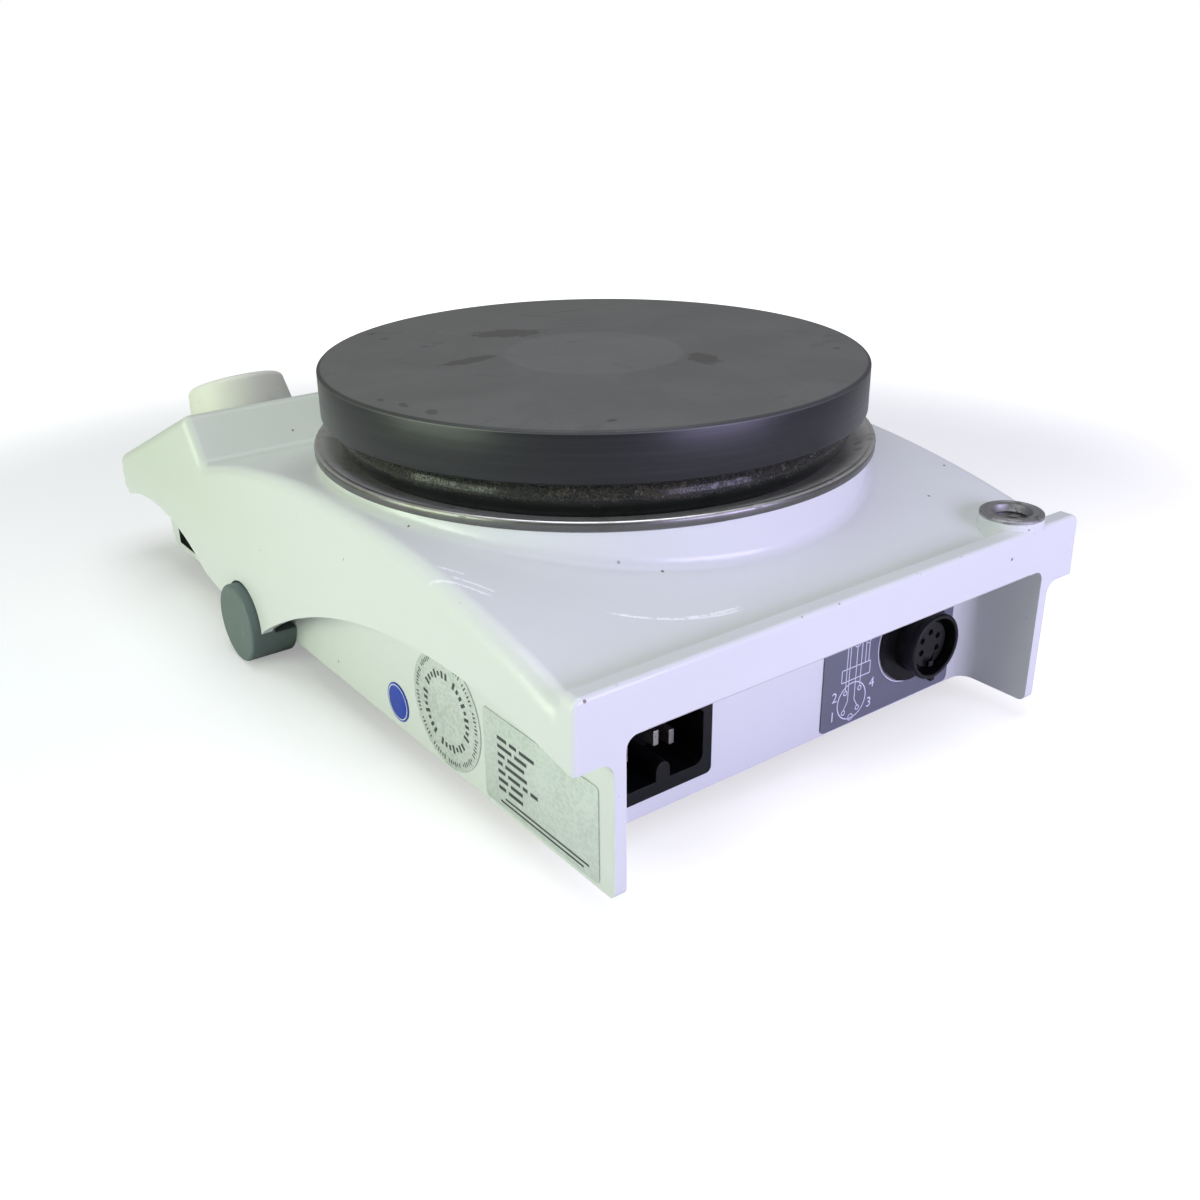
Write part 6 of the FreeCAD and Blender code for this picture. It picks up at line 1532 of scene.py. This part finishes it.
@dataclass
class Studio:
    """Floor, lamps and camera."""

    eye: tuple[float, float, float] = (203.709, 310.788, 174.908)
    target: tuple[float, float, float] = (-10.4, 23.72, 11.89)
    roll: float = -0.7
    lens: float = 37.743
    aim: tuple[float, float, float] = (0.0, 30.0, 50.0)
    surround: float = 0.24
    floor_size: float = 12.0
    floor_colour: Colour = (0.78, 0.78, 0.78)
    floor_glow: Colour = (0.31, 0.31, 0.31)
    rear_glow: Colour = (0.62, 0.62, 0.60)
    far_glow: Colour = (0.90, 0.90, 0.90)

    def build(self) -> None:
        """Sets the stage."""
        self._camera()
        self._world()
        self._floor()
        self._lamp("side_softbox", (780, -60, 110), 560, 5.5, (0.86, 1.0, 0.77))
        self._lamp("rear_softbox", (-160, 880, 120), 560, 8.2, (0.68, 0.62, 1.0))
        self._lamp("top_softbox", (0, 60, 800), 620, 3.1, (0.87, 0.90, 1.0))

    def _camera(self) -> None:
        """The camera at the photograph's viewing angle."""
        data = bpy.data.cameras.new("view")
        data.lens = self.lens
        data.sensor_width = 36.0
        data.clip_start, data.clip_end = 0.01, 20.0
        item = add_object("view", data)
        eye, target = Vector(self.eye) * MM, Vector(self.target) * MM
        turn = (target - eye).to_track_quat("-Z", "Y").to_matrix().to_4x4()
        roll = Matrix.Rotation(math.radians(self.roll), 4, "Z")
        item.matrix_world = Matrix.Translation(eye) @ turn @ roll
        bpy.context.scene.camera = item

    def _world(self) -> None:
        """A plain surround: white to the camera and through the pane, grey as light."""
        world = bpy.data.worlds.new("surround")
        bpy.context.scene.world = world
        world.use_nodes = True
        n = Nodes(world.node_tree)
        seen = n.node("ShaderNodeLightPath", out="Is Camera Ray")
        seen = seen.at_least(n.node("ShaderNodeLightPath", out="Is Transmission Ray"))
        level = seen * (1.0 - self.surround) + self.surround
        back = n.node("ShaderNodeBackground", {}, {"Color": (1.0, 1.0, 1.0), "Strength": level})
        n.feed(n.tree.nodes.new("ShaderNodeOutputWorld").inputs[0], back)

    def _floor(self) -> None:
        """A wide floor that shows white far off and keeps a soft shadow round the object."""
        bm = bmesh.new()
        bmesh.ops.create_grid(bm, x_segments=1, y_segments=1, size=self.floor_size / 2)
        item = add_object("floor", mesh_of("floor", bm))
        r = Recipe("floor")
        r.finish(Base_Color=self.floor_colour, Roughness=0.9, Specular_IOR_Level=0.0)
        tint = r.mix(r.axis("Y").between(-20, 160), self.floor_glow, self.rear_glow)
        tint = r.mix(r.away(0, 0).between(260, 460), tint, self.far_glow)
        plain = Wire(r, r.shader.outputs[0])
        glow = r.node("ShaderNodeEmission", {}, {"Color": tint})
        bright = r.node("ShaderNodeAddShader", {}, {0: plain, 1: glow})
        camera = r.node("ShaderNodeLightPath", out="Is Camera Ray")
        shown = r.node("ShaderNodeMixShader", {}, {0: camera, 1: plain, 2: bright})
        r.feed(r.output.inputs[0], shown)
        item.data.materials.append(r.material)

    def _lamp(self, name: str, spot: Sequence[float], size: float, power: float, colour: Colour) -> None:
        """A square softbox aimed at the object.

        Args:
            name: its name.
            spot: its place in millimetres.
            size: its side in millimetres.
            power: its power in watts.
            colour: its tint.
        """
        data = bpy.data.lights.new(name, "AREA")
        data.shape = "SQUARE"
        data.size = size * MM
        data.energy = power
        data.color = colour
        item = add_object(name, data)
        item.location = Vector(spot) * MM
        towards = (Vector(self.aim) - Vector(spot)) * MM
        item.rotation_euler = towards.to_track_quat("-Z", "Y").to_euler()


def main() -> None:
    """Builds the stirrer and its studio."""
    logging.basicConfig(level=logging.INFO, format="%(name)s %(message)s")
    bpy.context.scene.view_settings.view_transform = "Standard"
    Studio().build()
    for assembly in (Casting(), Hotplate(), ControlPanel(), RearPanel(), SideFoils(), Drive(), Supply()):
        assembly.build()
        log.info("%s done", type(assembly).__name__)


if __name__ == "__main__":
    main()
